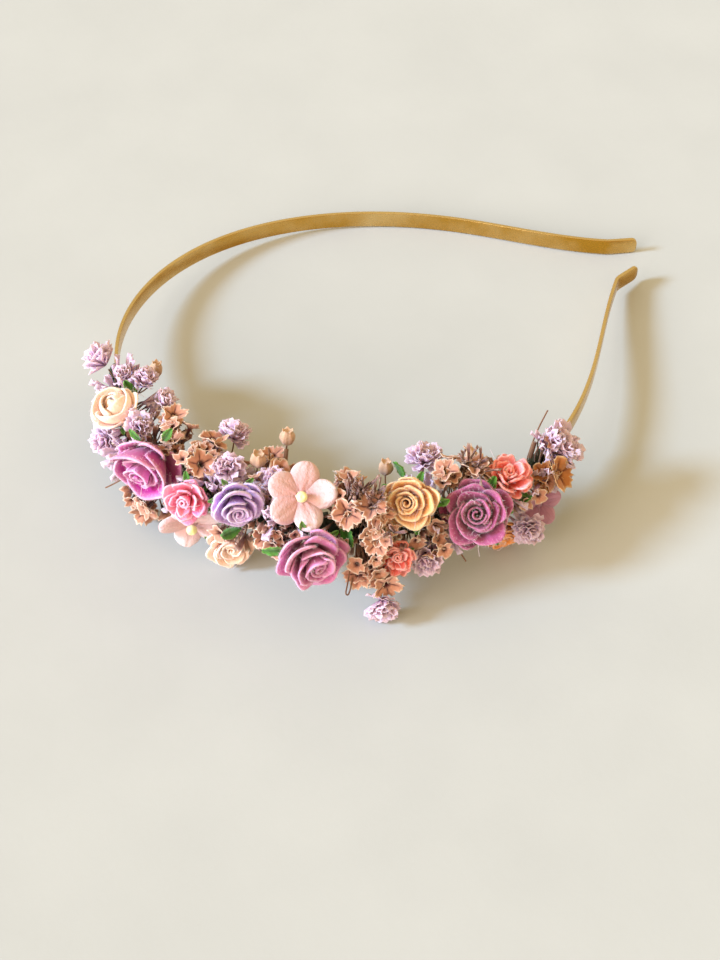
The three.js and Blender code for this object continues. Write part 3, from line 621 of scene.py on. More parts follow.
# %% Sweeping the strip
STATION, STRIP_CORNER = 1.5, 0.3
corner_shares = np.array([0, 0.05, 0.15, 0.3, 0.5, 0.75, 1])
insets = corner_shares * TIP_CORNER
rounding = np.sqrt(TIP_CORNER ** 2 - (TIP_CORNER - insets) ** 2)
narrowed = (STRIP_WIDTH / 2 - TIP_CORNER + rounding) / (STRIP_WIDTH / 2)
middle_stops = np.arange(-BARE_END + TIP_CORNER + STATION, FLOWERED_END - TIP_CORNER, STATION)
stops = np.concatenate([-BARE_END + insets, middle_stops, FLOWERED_END - insets[::-1]])
widths = np.concatenate([narrowed, np.ones_like(middle_stops), narrowed[::-1]])
spine = []
for along in stops:
    point, _, outward = band_at(along)
    spine.append(point + outward * STRIP_THICKNESS / 2)
line_mesh = bpy.data.meshes.new("strip_line")
line_mesh.from_pydata(spine, [(i, i + 1) for i in range(len(spine) - 1)], [])
layer = line_mesh.attributes.new("width_share", "FLOAT", "POINT")
layer.data.foreach_set("value", widths.astype(np.float32))
strip = grow(SWEEP, line_mesh, Thickness=STRIP_THICKNESS, Width=STRIP_WIDTH, Corner=STRIP_CORNER,
             Material=gold)
strip.transform(LAY)
keep("metal_band", strip, gold, "gold", "band")
print("strip faces:", len(strip.polygons))

# %% [markdown]
# ## The taped bundle
# The stems lie along the outer face of the strip and are bound to it with crepe tape, wound in overlapping
# turns. Each turn is a short cone, a little wider at one end, so the turns step over each other as tape
# does. One cone is planted along the line, leaned for the pitch of the winding.

# %% Crepe tape
CREPE_SCALE, CREPE_DEPTH = 1400, 0.0003
tape, tree, shader = new_material("florist_tape", Roughness=0.62, Specular_IOR_Level=0.35)
crepe = noise(tree, CREPE_SCALE, 4, (1, 1, 0.4))
shade = ramp(tree, crepe, (0.3, "#141a14"), (0.55, "#28342a"), (0.8, "#4d5f4c"))
tree.links.new(shade, shader.inputs["Base Color"])
bump(tree, shader, crepe, CREPE_DEPTH, 0.8)
print("nodes in the tape's finish:", len(tree.nodes))

# %% One turn of tape
BINDING_BULGE, BINDING_MARGIN = 3.0, 0.55
TAPE_WIDTH, TAPE_STEP, TAPE_WALL = 3.9, 0.28, 0.25
ROUND_POINTS, FLAT_POINTS, FLAT_SHARE = 15, 7, 0.9


def tape_ring(grown):
    """The outline of the bundle across the strip: flat inside, round outside. x is out, y is up."""
    angle = np.linspace(-math.pi / 2, math.pi / 2, ROUND_POINTS)
    half = STRIP_WIDTH / 2 + BINDING_MARGIN + grown
    bulge = STRIP_THICKNESS + (BINDING_BULGE + grown) * np.cos(angle)
    round_side = np.stack([bulge, half * np.sin(angle)], -1)
    flat_up = np.linspace(half * FLAT_SHARE, -half * FLAT_SHARE, FLAT_POINTS)
    flat_side = np.stack([np.full_like(flat_up, -BINDING_MARGIN - grown), flat_up], -1)
    return np.concatenate([round_side, flat_side])


def tape_turn():
    """One cone of tape with its wall, as rings from end to end and back inside."""
    rings = []
    for along, grown in ((0, 0), (1, TAPE_STEP), (1, TAPE_STEP - TAPE_WALL), (0, -TAPE_WALL), (0, 0)):
        outline = tape_ring(grown)
        rings.append(np.column_stack([outline, np.full(len(outline), (along - 0.5) * TAPE_WIDTH)]))
    return tube_shell(rings, [0, 1, 1, 0, 0])


print("faces in a turn:", len(tape_turn()["faces"]))

# %% Winding the tape
BINDING_FROM, BINDING_TO = -26, 134
BINDING_END_BULGE, BINDING_TAPER = 1.4, 14
TAPE_PITCH, TAPE_LEAN, TAPE_SEED = 2.6, 0.22, 3


def bulge_at(along):
    """How far the stems stand out from the strip's outer face."""
    from_end = min(along - BINDING_FROM, BINDING_TO - along)
    share = min(1, max(0, from_end / BINDING_TAPER))
    return BINDING_END_BULGE + (BINDING_BULGE - BINDING_END_BULGE) * share


places = []
for along in np.arange(BINDING_FROM + TAPE_WIDTH / 2, BINDING_TO - TAPE_WIDTH / 2, TAPE_PITCH):
    point, tangent, outward = band_at(along)
    stretch = (bulge_at(along) + STRIP_THICKNESS) / (BINDING_BULGE + STRIP_THICKNESS)
    places.append((point, tangent + TAPE_LEAN * UP, outward, (stretch, 1, 1)))
keep("tape_turns", plant(tape_turn(), places, tape, TAPE_SEED), tape, "tape", "stem_binding")
print("turns of tape:", len(places))

# %% [markdown]
# ## Placing a head
# Each flower is modelled facing up at the origin and then set down: out from the strip at its angle, turned
# and lifted to face where it looks. `head_matrix` does that, and the stem drawing needs only its foot.

# %% From a row of the table to a matrix
SPIN_STEP = 37


def head_axes(row, index):
    """Centre and three axes of a head, in the band's frame."""
    point, tangent, outward = band_at(row["along"])
    around, turn, lift = (math.radians(row[key]) for key in ("around", "turn", "lift"))
    centre = point + row["out"] * (outward * math.cos(around) + UP * math.sin(around))
    facing = (outward * math.cos(turn) + tangent * math.sin(turn)) * math.cos(lift) + UP * math.sin(lift)
    level = np.cross(UP, facing)
    length = np.linalg.norm(level)
    level = level / length if length > 1e-3 else tangent
    across = np.cross(facing, level)
    spin = math.radians(index * SPIN_STEP)
    side = level * math.cos(spin) + across * math.sin(spin)
    return centre, side, np.cross(facing, side), facing


def head_matrix(row, index, sunk=0):
    """The same as a matrix from head millimetres to the laid headband, sunk by a share of the size."""
    centre, side, across, facing = head_axes(row, index)
    local = Matrix(np.column_stack([side, across, facing])).to_4x4()
    return LAY @ Matrix.Translation(centre) @ local @ Matrix.Translation((0, 0, -sunk * row["size"]))


# %% Stems from the heads to the bundle
STEM_LINES = []
STEM_INTO_HEAD, STEM_BEND, STEM_POINTS = 0.8, 0.45, 9
SEAT_MARGIN, SEAT_OUT = 2, STRIP_THICKNESS + 1.0


def stem_to_bundle(foot, facing):
    """Notes a line that leaves a foot backwards and bends to the nearest place on the bundle."""
    seats = range(BINDING_FROM + SEAT_MARGIN, BINDING_TO - SEAT_MARGIN)
    gaps = [np.linalg.norm(band_at(along)[0] - foot) for along in seats]
    point, _, outward = band_at(seats[int(np.argmin(gaps))])
    seat = point + outward * SEAT_OUT
    bend = foot - facing * np.linalg.norm(seat - foot) * STEM_BEND
    steps = np.linspace(0, 1, STEM_POINTS)[:, None]
    STEM_LINES.append((1 - steps) ** 2 * (foot + facing * STEM_INTO_HEAD)
                      + 2 * steps * (1 - steps) * bend + steps ** 2 * seat)


def draw_stem(row, index, base):
    """Notes the stem of a head, whose foot is a share of its size behind its centre."""
    centre, _, _, facing = head_axes(row, index)
    stem_to_bundle(centre - facing * base * row["size"], facing)


def set_head(prefix, node, mesh, row, index, finish, slot, base, sunk=0):
    """Sets a head in its place, keeps it as the piece for its node, and notes its stem."""
    mesh.transform(head_matrix(row, index, sunk))
    keep(prefix + node, mesh, finish, slot, node)
    draw_stem(row, index, base)


# %% [markdown]
# ## Paper roses
# Such roses are stamped from mulberry paper and rolled: a tight heart, then rounds of petals that overlap
# like roof tiles and curl back at the rim. A rolled sheet makes the heart. A petal is a sheet bent round
# the axis: its profile opens from the foot to the mouth, its rim curls out, and one side laps outside its
# neighbour. Sizes in the rounds are shares of the rose's width. `close` draws a bud's petals in over its
# middle. `pale` lightens the inner rounds of the rose whose tall third round stands round them as a hood.

# %% Rounds of petals for each kind of rose
ROUND = "petals span foot mouth base top curl lap round ruffle close pale"
FULL = table(
    ROUND,
    (3, 76, 0.05, 0.18, -0.12, 0.25, 0.020, 0.035, 0.18, 0.012, 0, 0),
    (3, 70, 0.08, 0.27, -0.18, 0.25, 0.045, 0.040, 0.26, 0.018, 0, 0),
    (4, 56, 0.08, 0.36, -0.24, 0.20, 0.065, 0.040, 0.32, 0.022, 0, 0),
    (5, 45, 0.08, 0.44, -0.30, 0.06, 0.055, 0.035, 0.38, 0.024, 0, 0))
SMALL = table(
    ROUND,
    (3, 52, 0.03, 0.14, -0.16, 0.22, 0.000, 0.030, 0.46, 0.012, 0, 0),
    (4, 46, 0.05, 0.28, -0.22, 0.28, 0.005, 0.040, 0.54, 0.020, 0, 0),
    (5, 40, 0.06, 0.42, -0.28, 0.24, 0.015, 0.040, 0.58, 0.026, 0, 0),
    (6, 34, 0.06, 0.50, -0.30, 0.06, 0.020, 0.030, 0.60, 0.026, 0, 0))
BUD = table(
    ROUND,
    (2, 115, 0.06, 0.34, -0.30, 0.50, 0.0, 0.025, 0.14, 0.006, 0.9, 0),
    (3, 82, 0.10, 0.45, -0.34, 0.50, 0.0, 0.050, 0.24, 0.010, 0.55, 0),
    (3, 72, 0.12, 0.54, -0.36, 0.42, 0.020, 0.050, 0.30, 0.014, 0.25, 0),
    (4, 54, 0.10, 0.58, -0.36, 0.20, 0.040, 0.040, 0.36, 0.018, 0.0, 0))
HOOD = table(
    ROUND,
    (3, 76, 0.05, 0.17, -0.12, 0.22, 0.020, 0.035, 0.18, 0.012, 0, 0.75),
    (4, 58, 0.06, 0.24, -0.18, 0.20, 0.040, 0.030, 0.24, 0.022, 0, 0.7),
    (4, 62, 0.12, 0.44, -0.28, 0.30, 0.010, 0.040, 0.26, 0.018, 0, 0),
    (5, 45, 0.08, 0.46, -0.30, 0.06, 0.050, 0.035, 0.38, 0.024, 0, 0))
print("petals in a full rose:", sum(row["petals"] for row in FULL))

# %% Waves and leaning
LEAN_ANGLE, LEAN_SHIFT = math.radians(95), 0.6
ANY_ANGLE = (0, 6)


def waves(u, chance, rows):
    """Sine waves across a petal. A row is a height and a pace, and chance says where each wave starts."""
    return sum(height * np.sin(pace * u + chance.uniform(*ANY_ANGLE)) for height, pace in rows)


def past(value, start):
    """How far a value is past a start: 0 up to there, 1 at 1."""
    return np.clip((value - start) / (1 - start), 0, 1)


def lean_over(points, lean, share, size):
    """Tips points from the facing axis towards the lean, a flat vector in shares of the width."""
    amount = np.linalg.norm(lean)
    if amount < 1e-6:
        return points
    axis = Vector((-lean[1], lean[0], 0))
    tip = np.array(Matrix.Rotation(amount * LEAN_ANGLE * share, 3, axis))
    return points @ tip.T + np.array([lean[0], lean[1], 0]) * share * size * LEAN_SHIFT


# %% One petal
PETAL_PAPER, PETAL_GRID = 0.46, (15, 17)
TEARS, RUFFLES = ((0.016, 4.5), (0.008, 10)), ((1, 3.2), (0.6, 7))
TURN_SLIP, CURL_SLIP = 0.22, 0.6
MOUTH_SHARES, TOP_SHARES, CURL_SHARES = (0.88, 1.06), (0.75, 1.12), (0.5, 1.4)
FULL_SPAN_AT, CLOSE_FROM, CURL_FROM = 0.55, 0.45, 0.58


def rose_petal(row, turn, size, chance, lean, share):
    """One petal of a round, as a shell. Petals behind a leaning heart stand taller."""
    u, v = grid(*PETAL_GRID)
    behind = -(math.cos(turn) * lean[0] + math.sin(turn) * lean[1]) * (1 - share)
    reach = v * (1 - row["round"] * np.abs(u) ** 3 + waves(u, chance, TEARS) * v ** 2)
    widening = np.sin(np.pi / 2 * np.minimum(1, reach / FULL_SPAN_AT))
    swing = math.radians(row["span"]) * (0.5 + 0.5 * widening)
    angle = turn + chance.uniform(-TURN_SLIP, TURN_SLIP) + u * swing
    opening = 1 - np.clip(1 - reach, 0, 1) ** 1.6
    shut = 1 - row["close"] * past(reach, CLOSE_FROM) ** 1.6
    curl = past(reach, CURL_FROM) ** 2 * (1 + chance.uniform(-CURL_SLIP, CURL_SLIP) * u)
    wave = row["ruffle"] * waves(u, chance, RUFFLES) * reach ** 2
    mouth = row["mouth"] * chance.uniform(*MOUTH_SHARES) * (1 - 0.5 * behind)
    top = row["top"] * chance.uniform(*TOP_SHARES) + 0.7 * behind
    roll = row["curl"] * chance.uniform(*CURL_SHARES)
    radius = (row["foot"] + (mouth - row["foot"]) * opening) * shut
    radius = radius + roll * curl + row["lap"] * u * reach + wave
    height = row["base"] + (top - row["base"]) * reach ** 0.9 - 0.9 * abs(roll) * curl + 0.7 * wave
    points = lean_over(polar(radius, angle, height) * size, lean, share, size)
    edge = np.maximum(v ** 2, np.abs(u) ** 5 * np.minimum(1, 1.4 * v))
    return shell(points, PETAL_PAPER, reach + row["pale"] * (1 - reach), edge, chance.uniform(0, 1))


# %% A heart and a whole rose
HEART_GRID, HEART_TURNS, HEART_PAPER = (7, 70), 1.8, 0.9 * PETAL_PAPER
ROUND_TURN = 1.1


def rose_heart(size, lean):
    """The rolled middle."""
    u, v = grid(*HEART_GRID)
    roll = (u + 1) / 2
    radius = 0.012 + 0.108 * roll + 0.02 * v ** 3 + 0.008 * np.sin(11 * roll) * v
    height = -0.12 + (0.33 - 0.03 * roll + 0.02 * np.sin(9 * roll)) * v
    points = polar(radius, roll * HEART_TURNS * 2 * np.pi, height) * size
    return shell(lean_over(points, lean, 1, size), HEART_PAPER, 0.15 + 0.6 * v, v ** 2)


def rose(rounds, size, seed, lean):
    """A heart, which a bud goes without, and its rounds of petals."""
    chance = np.random.default_rng(seed)
    shells = [] if rounds is BUD else [rose_heart(size, lean)]
    turn = chance.uniform(*ANY_ANGLE)
    for level, row in enumerate(rounds):
        turn += ROUND_TURN
        share = 1 - level / len(rounds)
        for number in range(row["petals"]):
            petal_turn = turn + number * 2 * np.pi / row["petals"]
            shells.append(rose_petal(row, petal_turn, size, chance, lean, share))
    return gather(shells)


# %% [markdown]
# Pushed in among the others, most roses do not face straight out: the heart leans to one side and the
# petals behind it stand up and show their insides. The lean is read off the photo, so the table gives it as
# seen from the camera, right and up, in shares of the rose's width. Torn paper sheds fibres, so each rose
# gets a fuzz of hairs on its rims and a few loose threads that wander off from them.

# %% The roses and their leans
ROSES = table(
    "name colour kind along around out turn lift size right up",
    ("plum_left", "plum", HOOD, 15, 47, 10, 33, 13, 18, -0.2, -0.3),
    ("plum_front", "plum", FULL, 57.5, 12, 15, 15, 11, 19, 0.15, -0.12),
    ("plum_right", "plum", FULL, 95, 30, 10.5, -26, 43, 18.5, -0.03, 0.01),
    ("lavender", "lavender", FULL, 40, 53, 11, 30, 15, 14.5, 0.03, -0.2),
    ("peach", "peach", FULL, 80, 65, 12.5, -14, 37, 14.5, -0.1, 0.02),
    ("ivory_bud", "ivory", BUD, -3, 53, 9.5, 4, 51, 11, 0.1, 0.16),
    ("ivory_low", "ivory", FULL, 36.5, -69, 12.7, 28, -3, 12.5, 0.05, 0.2),
    ("pink", "pink", SMALL, 29, 32, 11, 32, 30, 11.5, -0.14, -0.05),
    ("coral_right", "coral", SMALL, 106, 59, 9.8, 3, 60, 12, -0.1, 0.1),
    ("coral_low", "coral", SMALL, 76, -14, 11.5, -7, 12, 9, 0.0, 0.3),
    ("orange_low", "orange", FULL, 104.5, -63.5, 11.9, -31, -14, 11, 0.1, -0.1))


def seen_from_camera(row, index):
    """The row's lean, turned from the camera's right and up into the head's own flat axes."""
    _, side, across, _ = head_axes(row, index)
    way = row["right"] * CAMERA_RIGHT + row["up"] * CAMERA_UP
    return np.array([way @ (TURN @ side), way @ (TURN @ across)])


print("leans to the camera's right:", [row["right"] for row in ROSES])

# %% Making the roses
# plum_right takes a darker copy of the plum paper: painted shade, as it lies away from the light.
OTHER_FINISH = {"plum_right": "dark_plum", "plum_left": "plum_hood"}
ROSE_BASE, ROSE_SEED = 0.32, 20
FUZZ_SIZES = dict(Density=4.0, Radius=0.015, Length=0.7)
THREADS, THREAD_STEPS, THREAD_DRIFT, THREADS_FROM, THREAD_SEED = 4, 12, 0.1, 0.9, 150
THREAD_LINES = []
wander = np.random.default_rng(THREAD_SEED)
for index, row in enumerate(ROSES):
    body = rose(row["kind"], row["size"], ROSE_SEED + index, seen_from_camera(row, index))
    rims = body["points"][body["paint"][:, PAINT.index("edge")] > THREADS_FROM]
    centre, *axes = head_axes(row, index)
    for start in wander.choice(rims, THREADS):
        speed = np.cumsum(wander.normal(0, THREAD_DRIFT, (THREAD_STEPS, 3)), axis=0)
        THREAD_LINES.append(centre + start @ np.stack(axes) + np.cumsum(speed, axis=0) - speed[0])
    mesh = to_mesh("rose", body)
    fuzz = grow(FUZZ, mesh.copy(), **FUZZ_SIZES, Seed=index, Material=PAPERS["paper_fibre"])
    fuzz.transform(head_matrix(row, index))
    node = "rose_" + row["name"]
    finish = PAPERS[OTHER_FINISH.get(row["name"], row["colour"]) + "_paper"]
    set_head("paper_", node, mesh, row, index, finish, row["colour"], ROSE_BASE)
    keep("fuzz_" + node, fuzz, PAPERS["paper_fibre"], row["colour"])
print("roses:", len(ROSES), "faces in the last one:", len(mesh.polygons))

# %% [markdown]
# ## Round-petalled blossoms
# These are punched from soft fibrous paper: five round petals on a narrow waist, puffed by embossing, with
# a bead glued in the middle of the larger two. A petal's sheet follows a circle-like outline and is cupped,
# and a bulge in its middle stands for the embossing. A mesh circle with an inset would do too, but the grid
# carries the paint. The petals on one side are more salmon, so a petal's tone goes by the way it points.

# %% One blossom
BLOSSOM_PAPER, BLOSSOM_GRID, BLOSSOM_PETALS = 0.55, (19, 17), 5
NECK, TIP, NECK_WIDTH = 0.06, 0.495, 0.1
ROUND_AT, ROUND_RADIUS, LEAST_SQUARE = 0.292, 0.204, 0.0006
CUP, PUFF, EDGE_DROP, RIPPLE = 0.1, 0.035, 0.03, 0.004
TIP_SLIP, TILT_SLIP, SWING_SLIP = 0.03, 0.02, 0.06
SALMON_TONE, PALE_TONE, SALMON_FROM = 0.2, 0.8, 0.2
CALYX_PROFILE = ((0.002, -0.2), (0.05, -0.2), (0.09, -0.05), (0.1, 0.02), (0.002, 0.03))


def blossom(size, seed, salmon):
    """Five petals and the small calyx under them, as one body."""
    chance = np.random.default_rng(seed)
    u, v = grid(*BLOSSOM_GRID)
    span = NECK + (TIP - NECK) * np.sin(v * np.pi / 2)
    width = np.sqrt(np.clip(ROUND_RADIUS ** 2 - (span - ROUND_AT) ** 2, LEAST_SQUARE, 1))
    across = u * np.maximum(width, np.where(span < ROUND_AT, NECK_WIDTH, 0))
    edge = np.maximum(v ** 6, np.abs(u) ** 4)
    puff = PUFF * np.sin(np.pi * v) * (1 - u ** 2)
    shells = []
    for number in range(BLOSSOM_PETALS):
        height = CUP * (span / 0.5) ** 2 + puff - EDGE_DROP * edge + RIPPLE * np.sin(9 * u + number)
        height = height + chance.uniform(-TIP_SLIP, TIP_SLIP) * v
        height = height + chance.uniform(-TILT_SLIP, TILT_SLIP) * u
        turn = number * 2 * np.pi / BLOSSOM_PETALS + chance.uniform(-SWING_SLIP, SWING_SLIP)
        x = span * np.cos(turn) - across * np.sin(turn)
        y = span * np.sin(turn) + across * np.cos(turn)
        is_salmon = math.cos(turn) * salmon[0] + math.sin(turn) * salmon[1] > SALMON_FROM
        tone = SALMON_TONE if is_salmon else PALE_TONE
        shells.append(shell(np.stack([x, y, height], -1) * size, BLOSSOM_PAPER, 0.2 + 0.8 * v, edge, tone))
    rings = [polar(radius, circle(12), height) * size for radius, height in CALYX_PROFILE]
    shells.append(tube_shell(rings, [0, 0, 0.2, 0.3, 0.3]))
    return gather(shells)


# %% Its bead
BEAD_RADIUS, BEAD_GAP, BEAD_RINGS, BEAD_SIDES = 1.4, 0.75, 17, 24
POLE_GAP, FLATTENED, DIMPLE, DIMPLE_ANGLE = 0.02, 0.94, 0.18, 0.28
pearl, tree, shader = new_material("pale_bead", Roughness=0.38, Subsurface_Weight=0.3,
                                   Subsurface_Radius=(0.001, 0.001, 0.0006), Subsurface_Scale=1.0)
shade = ramp(tree, noise(tree, 700), (0.3, "#e9e39a"), (0.7, "#f8f4c4"))
tree.links.new(shade, shader.inputs["Base Color"])
bump(tree, shader, noise(tree, 1800), 0.00005, 0.4)


def bead():
    """A slightly flattened ball with a dimple where the thread hole is, over the petals' middle."""
    rings = []
    for lean in np.linspace(-math.pi / 2 + POLE_GAP, math.pi / 2 - POLE_GAP, BEAD_RINGS):
        dimple = DIMPLE * math.exp(-((math.pi / 2 - lean) / DIMPLE_ANGLE) ** 2)
        ring = polar(math.cos(lean), circle(BEAD_SIDES), math.sin(lean) * FLATTENED - dimple)
        rings.append(ring * BEAD_RADIUS + UP * (BEAD_GAP + BEAD_RADIUS))
    return tube_shell(rings, np.linspace(0.3, 1, BEAD_RINGS))


print("faces in a bead:", len(bead()["faces"]))

# %% Making the blossoms
BLOSSOMS = table(
    "name colour along around out turn lift size",
    ("blush_front", "blush", 54.5, 72, 13.5, 17, 45, 17.5),
    ("blush_low", "blush", 28, -35, 9, 37, -9, 16.5),
    ("mauve", "mauve", 114, -30, 9, -9, 23, 12.5))
BLOSSOM_BASE, BLOSSOM_SEED = 0.2, 40
SALMON_SIDE = dict(right=-0.8, up=0.6)
for index, row in enumerate(BLOSSOMS):
    salmon = seen_from_camera(dict(row, **SALMON_SIDE), index)
    mesh = to_mesh("blossom", blossom(row["size"], BLOSSOM_SEED + index, salmon))
    finish = PAPERS[row["colour"] + "_paper"]
    set_head("paper_", "blossom_" + row["name"], mesh, row, index, finish, row["colour"], BLOSSOM_BASE)
    if row["colour"] == "blush":
        mesh = to_mesh("bead", bead())
        mesh.transform(head_matrix(row, index))
        node = row["name"].replace("blush", "bead")
        keep("glued_" + node, mesh, pearl, "pearl", node)
print("blossoms:", len(BLOSSOMS))

# %% [markdown]
# ## Dried tufts
# The lilac tufts are double gypsophila: dozens of narrow petals with nicked tips, crumpled in drying. One
# petal is drawn with few faces, and the tuft tree fans it out. A sculpted ball with a bumpy material would
# not give the ragged outline, which is what makes these read as dried flowers. `open` says how far a tuft's
# petals spread, and a wider one has more of them.

# %% One nicked petal
TUFT_PAPER = 0.1
NICKS = np.array([-0.16, 0.03, -0.05, 0.04, -0.14])


def nicked_petal(length, width, crumple):
    """A petal that stands up from the origin, cupped towards the middle, with nicks in its tip."""
    u, v = grid(6, len(NICKS))
    tall = v + NICKS[None, :] * v ** 3
    across = u * (0.16 + 0.84 * v ** 0.8) * width / 2
    fold = crumple * np.cos(np.pi * u * 1.5) * v
    lean = 0.12 * length * v ** 2 + fold * length
    points = np.stack([across, lean, tall * length], -1)
    return shell(points, TUFT_PAPER, v, np.maximum(v ** 2, np.abs(u) ** 3 * v))


print("faces in a petal:", len(nicked_petal(1, 1, 0)["faces"]))

# %% Making the tufts
GYPSOPHILA = table(
    "along around out turn lift size open",
    (-22, 62, 10, -29, 57, 11, 1.1), (-14, 90, 9, -129, 88, 7, 1.0), (-10, 120, 10.5, 136, 64, 9, 0.8),
    (1, 122, 12, 152, 57, 8, 0.8), (6, 72, 10, 73, 57, 8, 1.1), (26, 144, 16.5, -171, 80, 9.5, 1.2),
    (34, 93, 11, 42, 59, 9.5, 1.4), (46, 103, 10, 30, 59, 8, 1.4), (89, 136, 14.5, 139, 86, 9.5, 1.4),
    (83, -30, 11, -9, 22, 10, 1.4), (72.5, -43, 21.4, -5, -12, 9.5, 1.3), (124, 54, 9.5, 19, 43, 12.5, 1.4),
    (108.5, -32, 13.4, -31, 16, 8.5, 1.4), (-2, 2, 10.5, 16, 17, 8.5, 1.2))
TUFT_PETALS, PETAL_LENGTH, PETAL_WIDTH, PETAL_CRUMPLE = 32, 0.55, 0.38, 0.06
TUFT_SINK, TUFT_LOWER, UNEVEN = 0.02, 0.2, 0.35
GYPSOPHILA_BASE, GYPSOPHILA_SEED = 0.42, 60
for index, row in enumerate(GYPSOPHILA):
    size = row["size"]
    petal_mesh = to_mesh("petal", nicked_petal(PETAL_LENGTH * size, PETAL_WIDTH * size, PETAL_CRUMPLE))
    mesh = grow(TUFT, petal_mesh, Count=int(TUFT_PETALS * row["open"]), Open=row["open"],
                Sink=TUFT_SINK * size, Uneven=UNEVEN, First=1.0, Seed=GYPSOPHILA_SEED + index,
                Material=PAPERS["lilac_petals"])
    set_head("tuft_", f"gypsophila_{index + 1}", mesh, row, index, PAPERS["lilac_petals"], "lilac",
             GYPSOPHILA_BASE, TUFT_LOWER)
print("tufts:", len(GYPSOPHILA), "faces in the last one:", len(mesh.polygons))

# %% [markdown]
# ## Papery calyces
# The tan pieces are dried calyces: a narrow tube that flares to a flat five-sided star, thin as tissue,
# with a toothed border and a dark vein along each lobe. They grow in sprigs, so each sprig is a small tuft
# of them on one foot. The veins could be thin ridges, but they are paint: where a vein runs, the petal's
# `reach` is lowered to its deep colour.

# %% One floret
LOBES, TUBE_SHARE, FLORET_PAPER = 5, 0.3, 0.09
TOOTH, TEAR, DENT, PLEAT, CRINKLE = 0.05, 0.04, 0.06, 0.14, 0.014


def floret(size, seed, columns=41, rows=8):
    """A five-lobed star on a narrow tube that stands on the origin."""
    chance = np.random.default_rng(seed)
    u, v = grid(rows, columns)
    angle = (u + 1) * np.pi
    lobe = np.abs(np.sin(angle * LOBES / 2))
    teeth = TOOTH * np.where(np.arange(columns) % 2, 1, -1) + chance.normal(0, TEAR, columns)
    teeth[-1] = teeth[0]
    dents = sum(chance.normal(0, DENT) * np.sin(times * angle + chance.uniform(*ANY_ANGLE))
                for times in (1, 2, 3, 4))
    reach = v * (0.74 + 0.26 * lobe + teeth[None, :] * v ** 6)
    flare = np.clip((reach - TUBE_SHARE) / (1 - TUBE_SHARE), 0, 1.2)
    tube = np.minimum(reach / TUBE_SHARE, 1)
    crease = 1 - np.abs(2 * (angle * LOBES / (2 * np.pi) % 1) - 1)
    pleat = (PLEAT * (0.5 - crease) + CRINKLE * np.cos(angle * 4 * LOBES)) * flare
    radius = 0.05 + 0.05 * tube + 0.42 * flare
    height = 0.5 * tube + 0.2 * flare ** 1.5 + pleat + dents * flare ** 1.5
    vein = np.maximum(crease ** 5 * np.clip(1.6 - 1.6 * flare, 0, 1), np.clip(1 - 4 * flare, 0, 1))
    return shell(polar(radius, angle, height) * size, FLORET_PAPER, 0.7 * (1 - vein), v ** 4)


print("faces in a floret:", len(floret(1, 0)["faces"]))

# %% Making the sprigs
CALYCES = table(
    "along around out turn lift size",
    (17, 89, 10, 157, 77, 6.5), (27, 78, 12, 53, 63, 7.5), (24, 119, 12, 117, 84, 6.5),
    (9, 118, 12, 138, 64, 6.5), (42, 140, 14, 157, 84, 6.5), (47, -1, 7.5, 23, 16, 6.5),
    (65.5, 60, 12.5, 5, 45, 8), (71.5, 23, 12.5, -3, 26, 7.5), (71.5, 58, 15, 0, 60, 8),
    (65, 111, 12, 86, 87, 7), (69, -30, 13.5, -8, 17, 7.5), (73, -27, 15.5, 4, 7, 7.5),
    (92, 94, 12, -12, 84, 6.5), (99, 86, 12, 3, 89, 7), (117, 29, 10.5, 5, 31, 9),
    (14, -52, 14, 45, -5, 7))
CALYX_BASE, CALYX_SEED, RUSTY_SPRIG = 0.4, 90, "calyx_15"
FLORETS, FLORET_SHARE, SPRIG_OPEN, SPRIG_SINK, SPRIG_FIRST = 7, 0.66, 1.25, 0.05, 1.6
for index, row in enumerate(CALYCES):
    size = row["size"]
    node = f"calyx_{index + 1}"
    finish = PAPERS["rusty_calyx" if node == RUSTY_SPRIG else "dried_calyx"]
    mesh = grow(TUFT, to_mesh("floret", floret(size * FLORET_SHARE, index)), Count=FLORETS, Open=SPRIG_OPEN,
                Sink=SPRIG_SINK * size, Uneven=UNEVEN, First=SPRIG_FIRST, Seed=CALYX_SEED + index,
                Material=finish)
    set_head("sprig_", node, mesh, row, index, finish, "tan", CALYX_BASE, CALYX_BASE)
print("sprigs:", len(CALYCES), "faces in the last one:", len(mesh.polygons))

# %% [markdown]
# ## Seed heads and leaves
# A seed head is a small urn with a toothed crown, turned from a profile whose ribs swell and sink. The
# Screw modifier could turn such a profile, but without ribs. A leaf is one folded sheet with toothed sides.

# %% Urns
URN_PROFILE = (
    (0.01, -0.5), (0.16, -0.48), (0.36, -0.32), (0.48, -0.08), (0.46, 0.14), (0.36, 0.32), (0.30, 0.42),
    (0.33, 0.52), (0.28, 0.5), (0.24, 0.38), (0.01, 0.34))
URN_SIDES, URN_RIB, URN_TOOTH, URN_CROWN = 30, 0.06, 0.07, 0.49


def urn(size, plump):
    """An urn that is turned from the profile's radius and height, with ribs and a toothed crown."""
    angles = circle(URN_SIDES)
    ribs = 1 + URN_RIB * np.cos(angles * LOBES)
    rings = []
    for radius, height in URN_PROFILE:
        teeth = URN_TOOTH * np.cos(angles * LOBES) if height > URN_CROWN else 0 * angles
        rings.append(polar(radius * plump * ribs, angles, height + teeth) * size)
    return tube_shell(rings, np.linspace(0.2, 1, len(rings)))


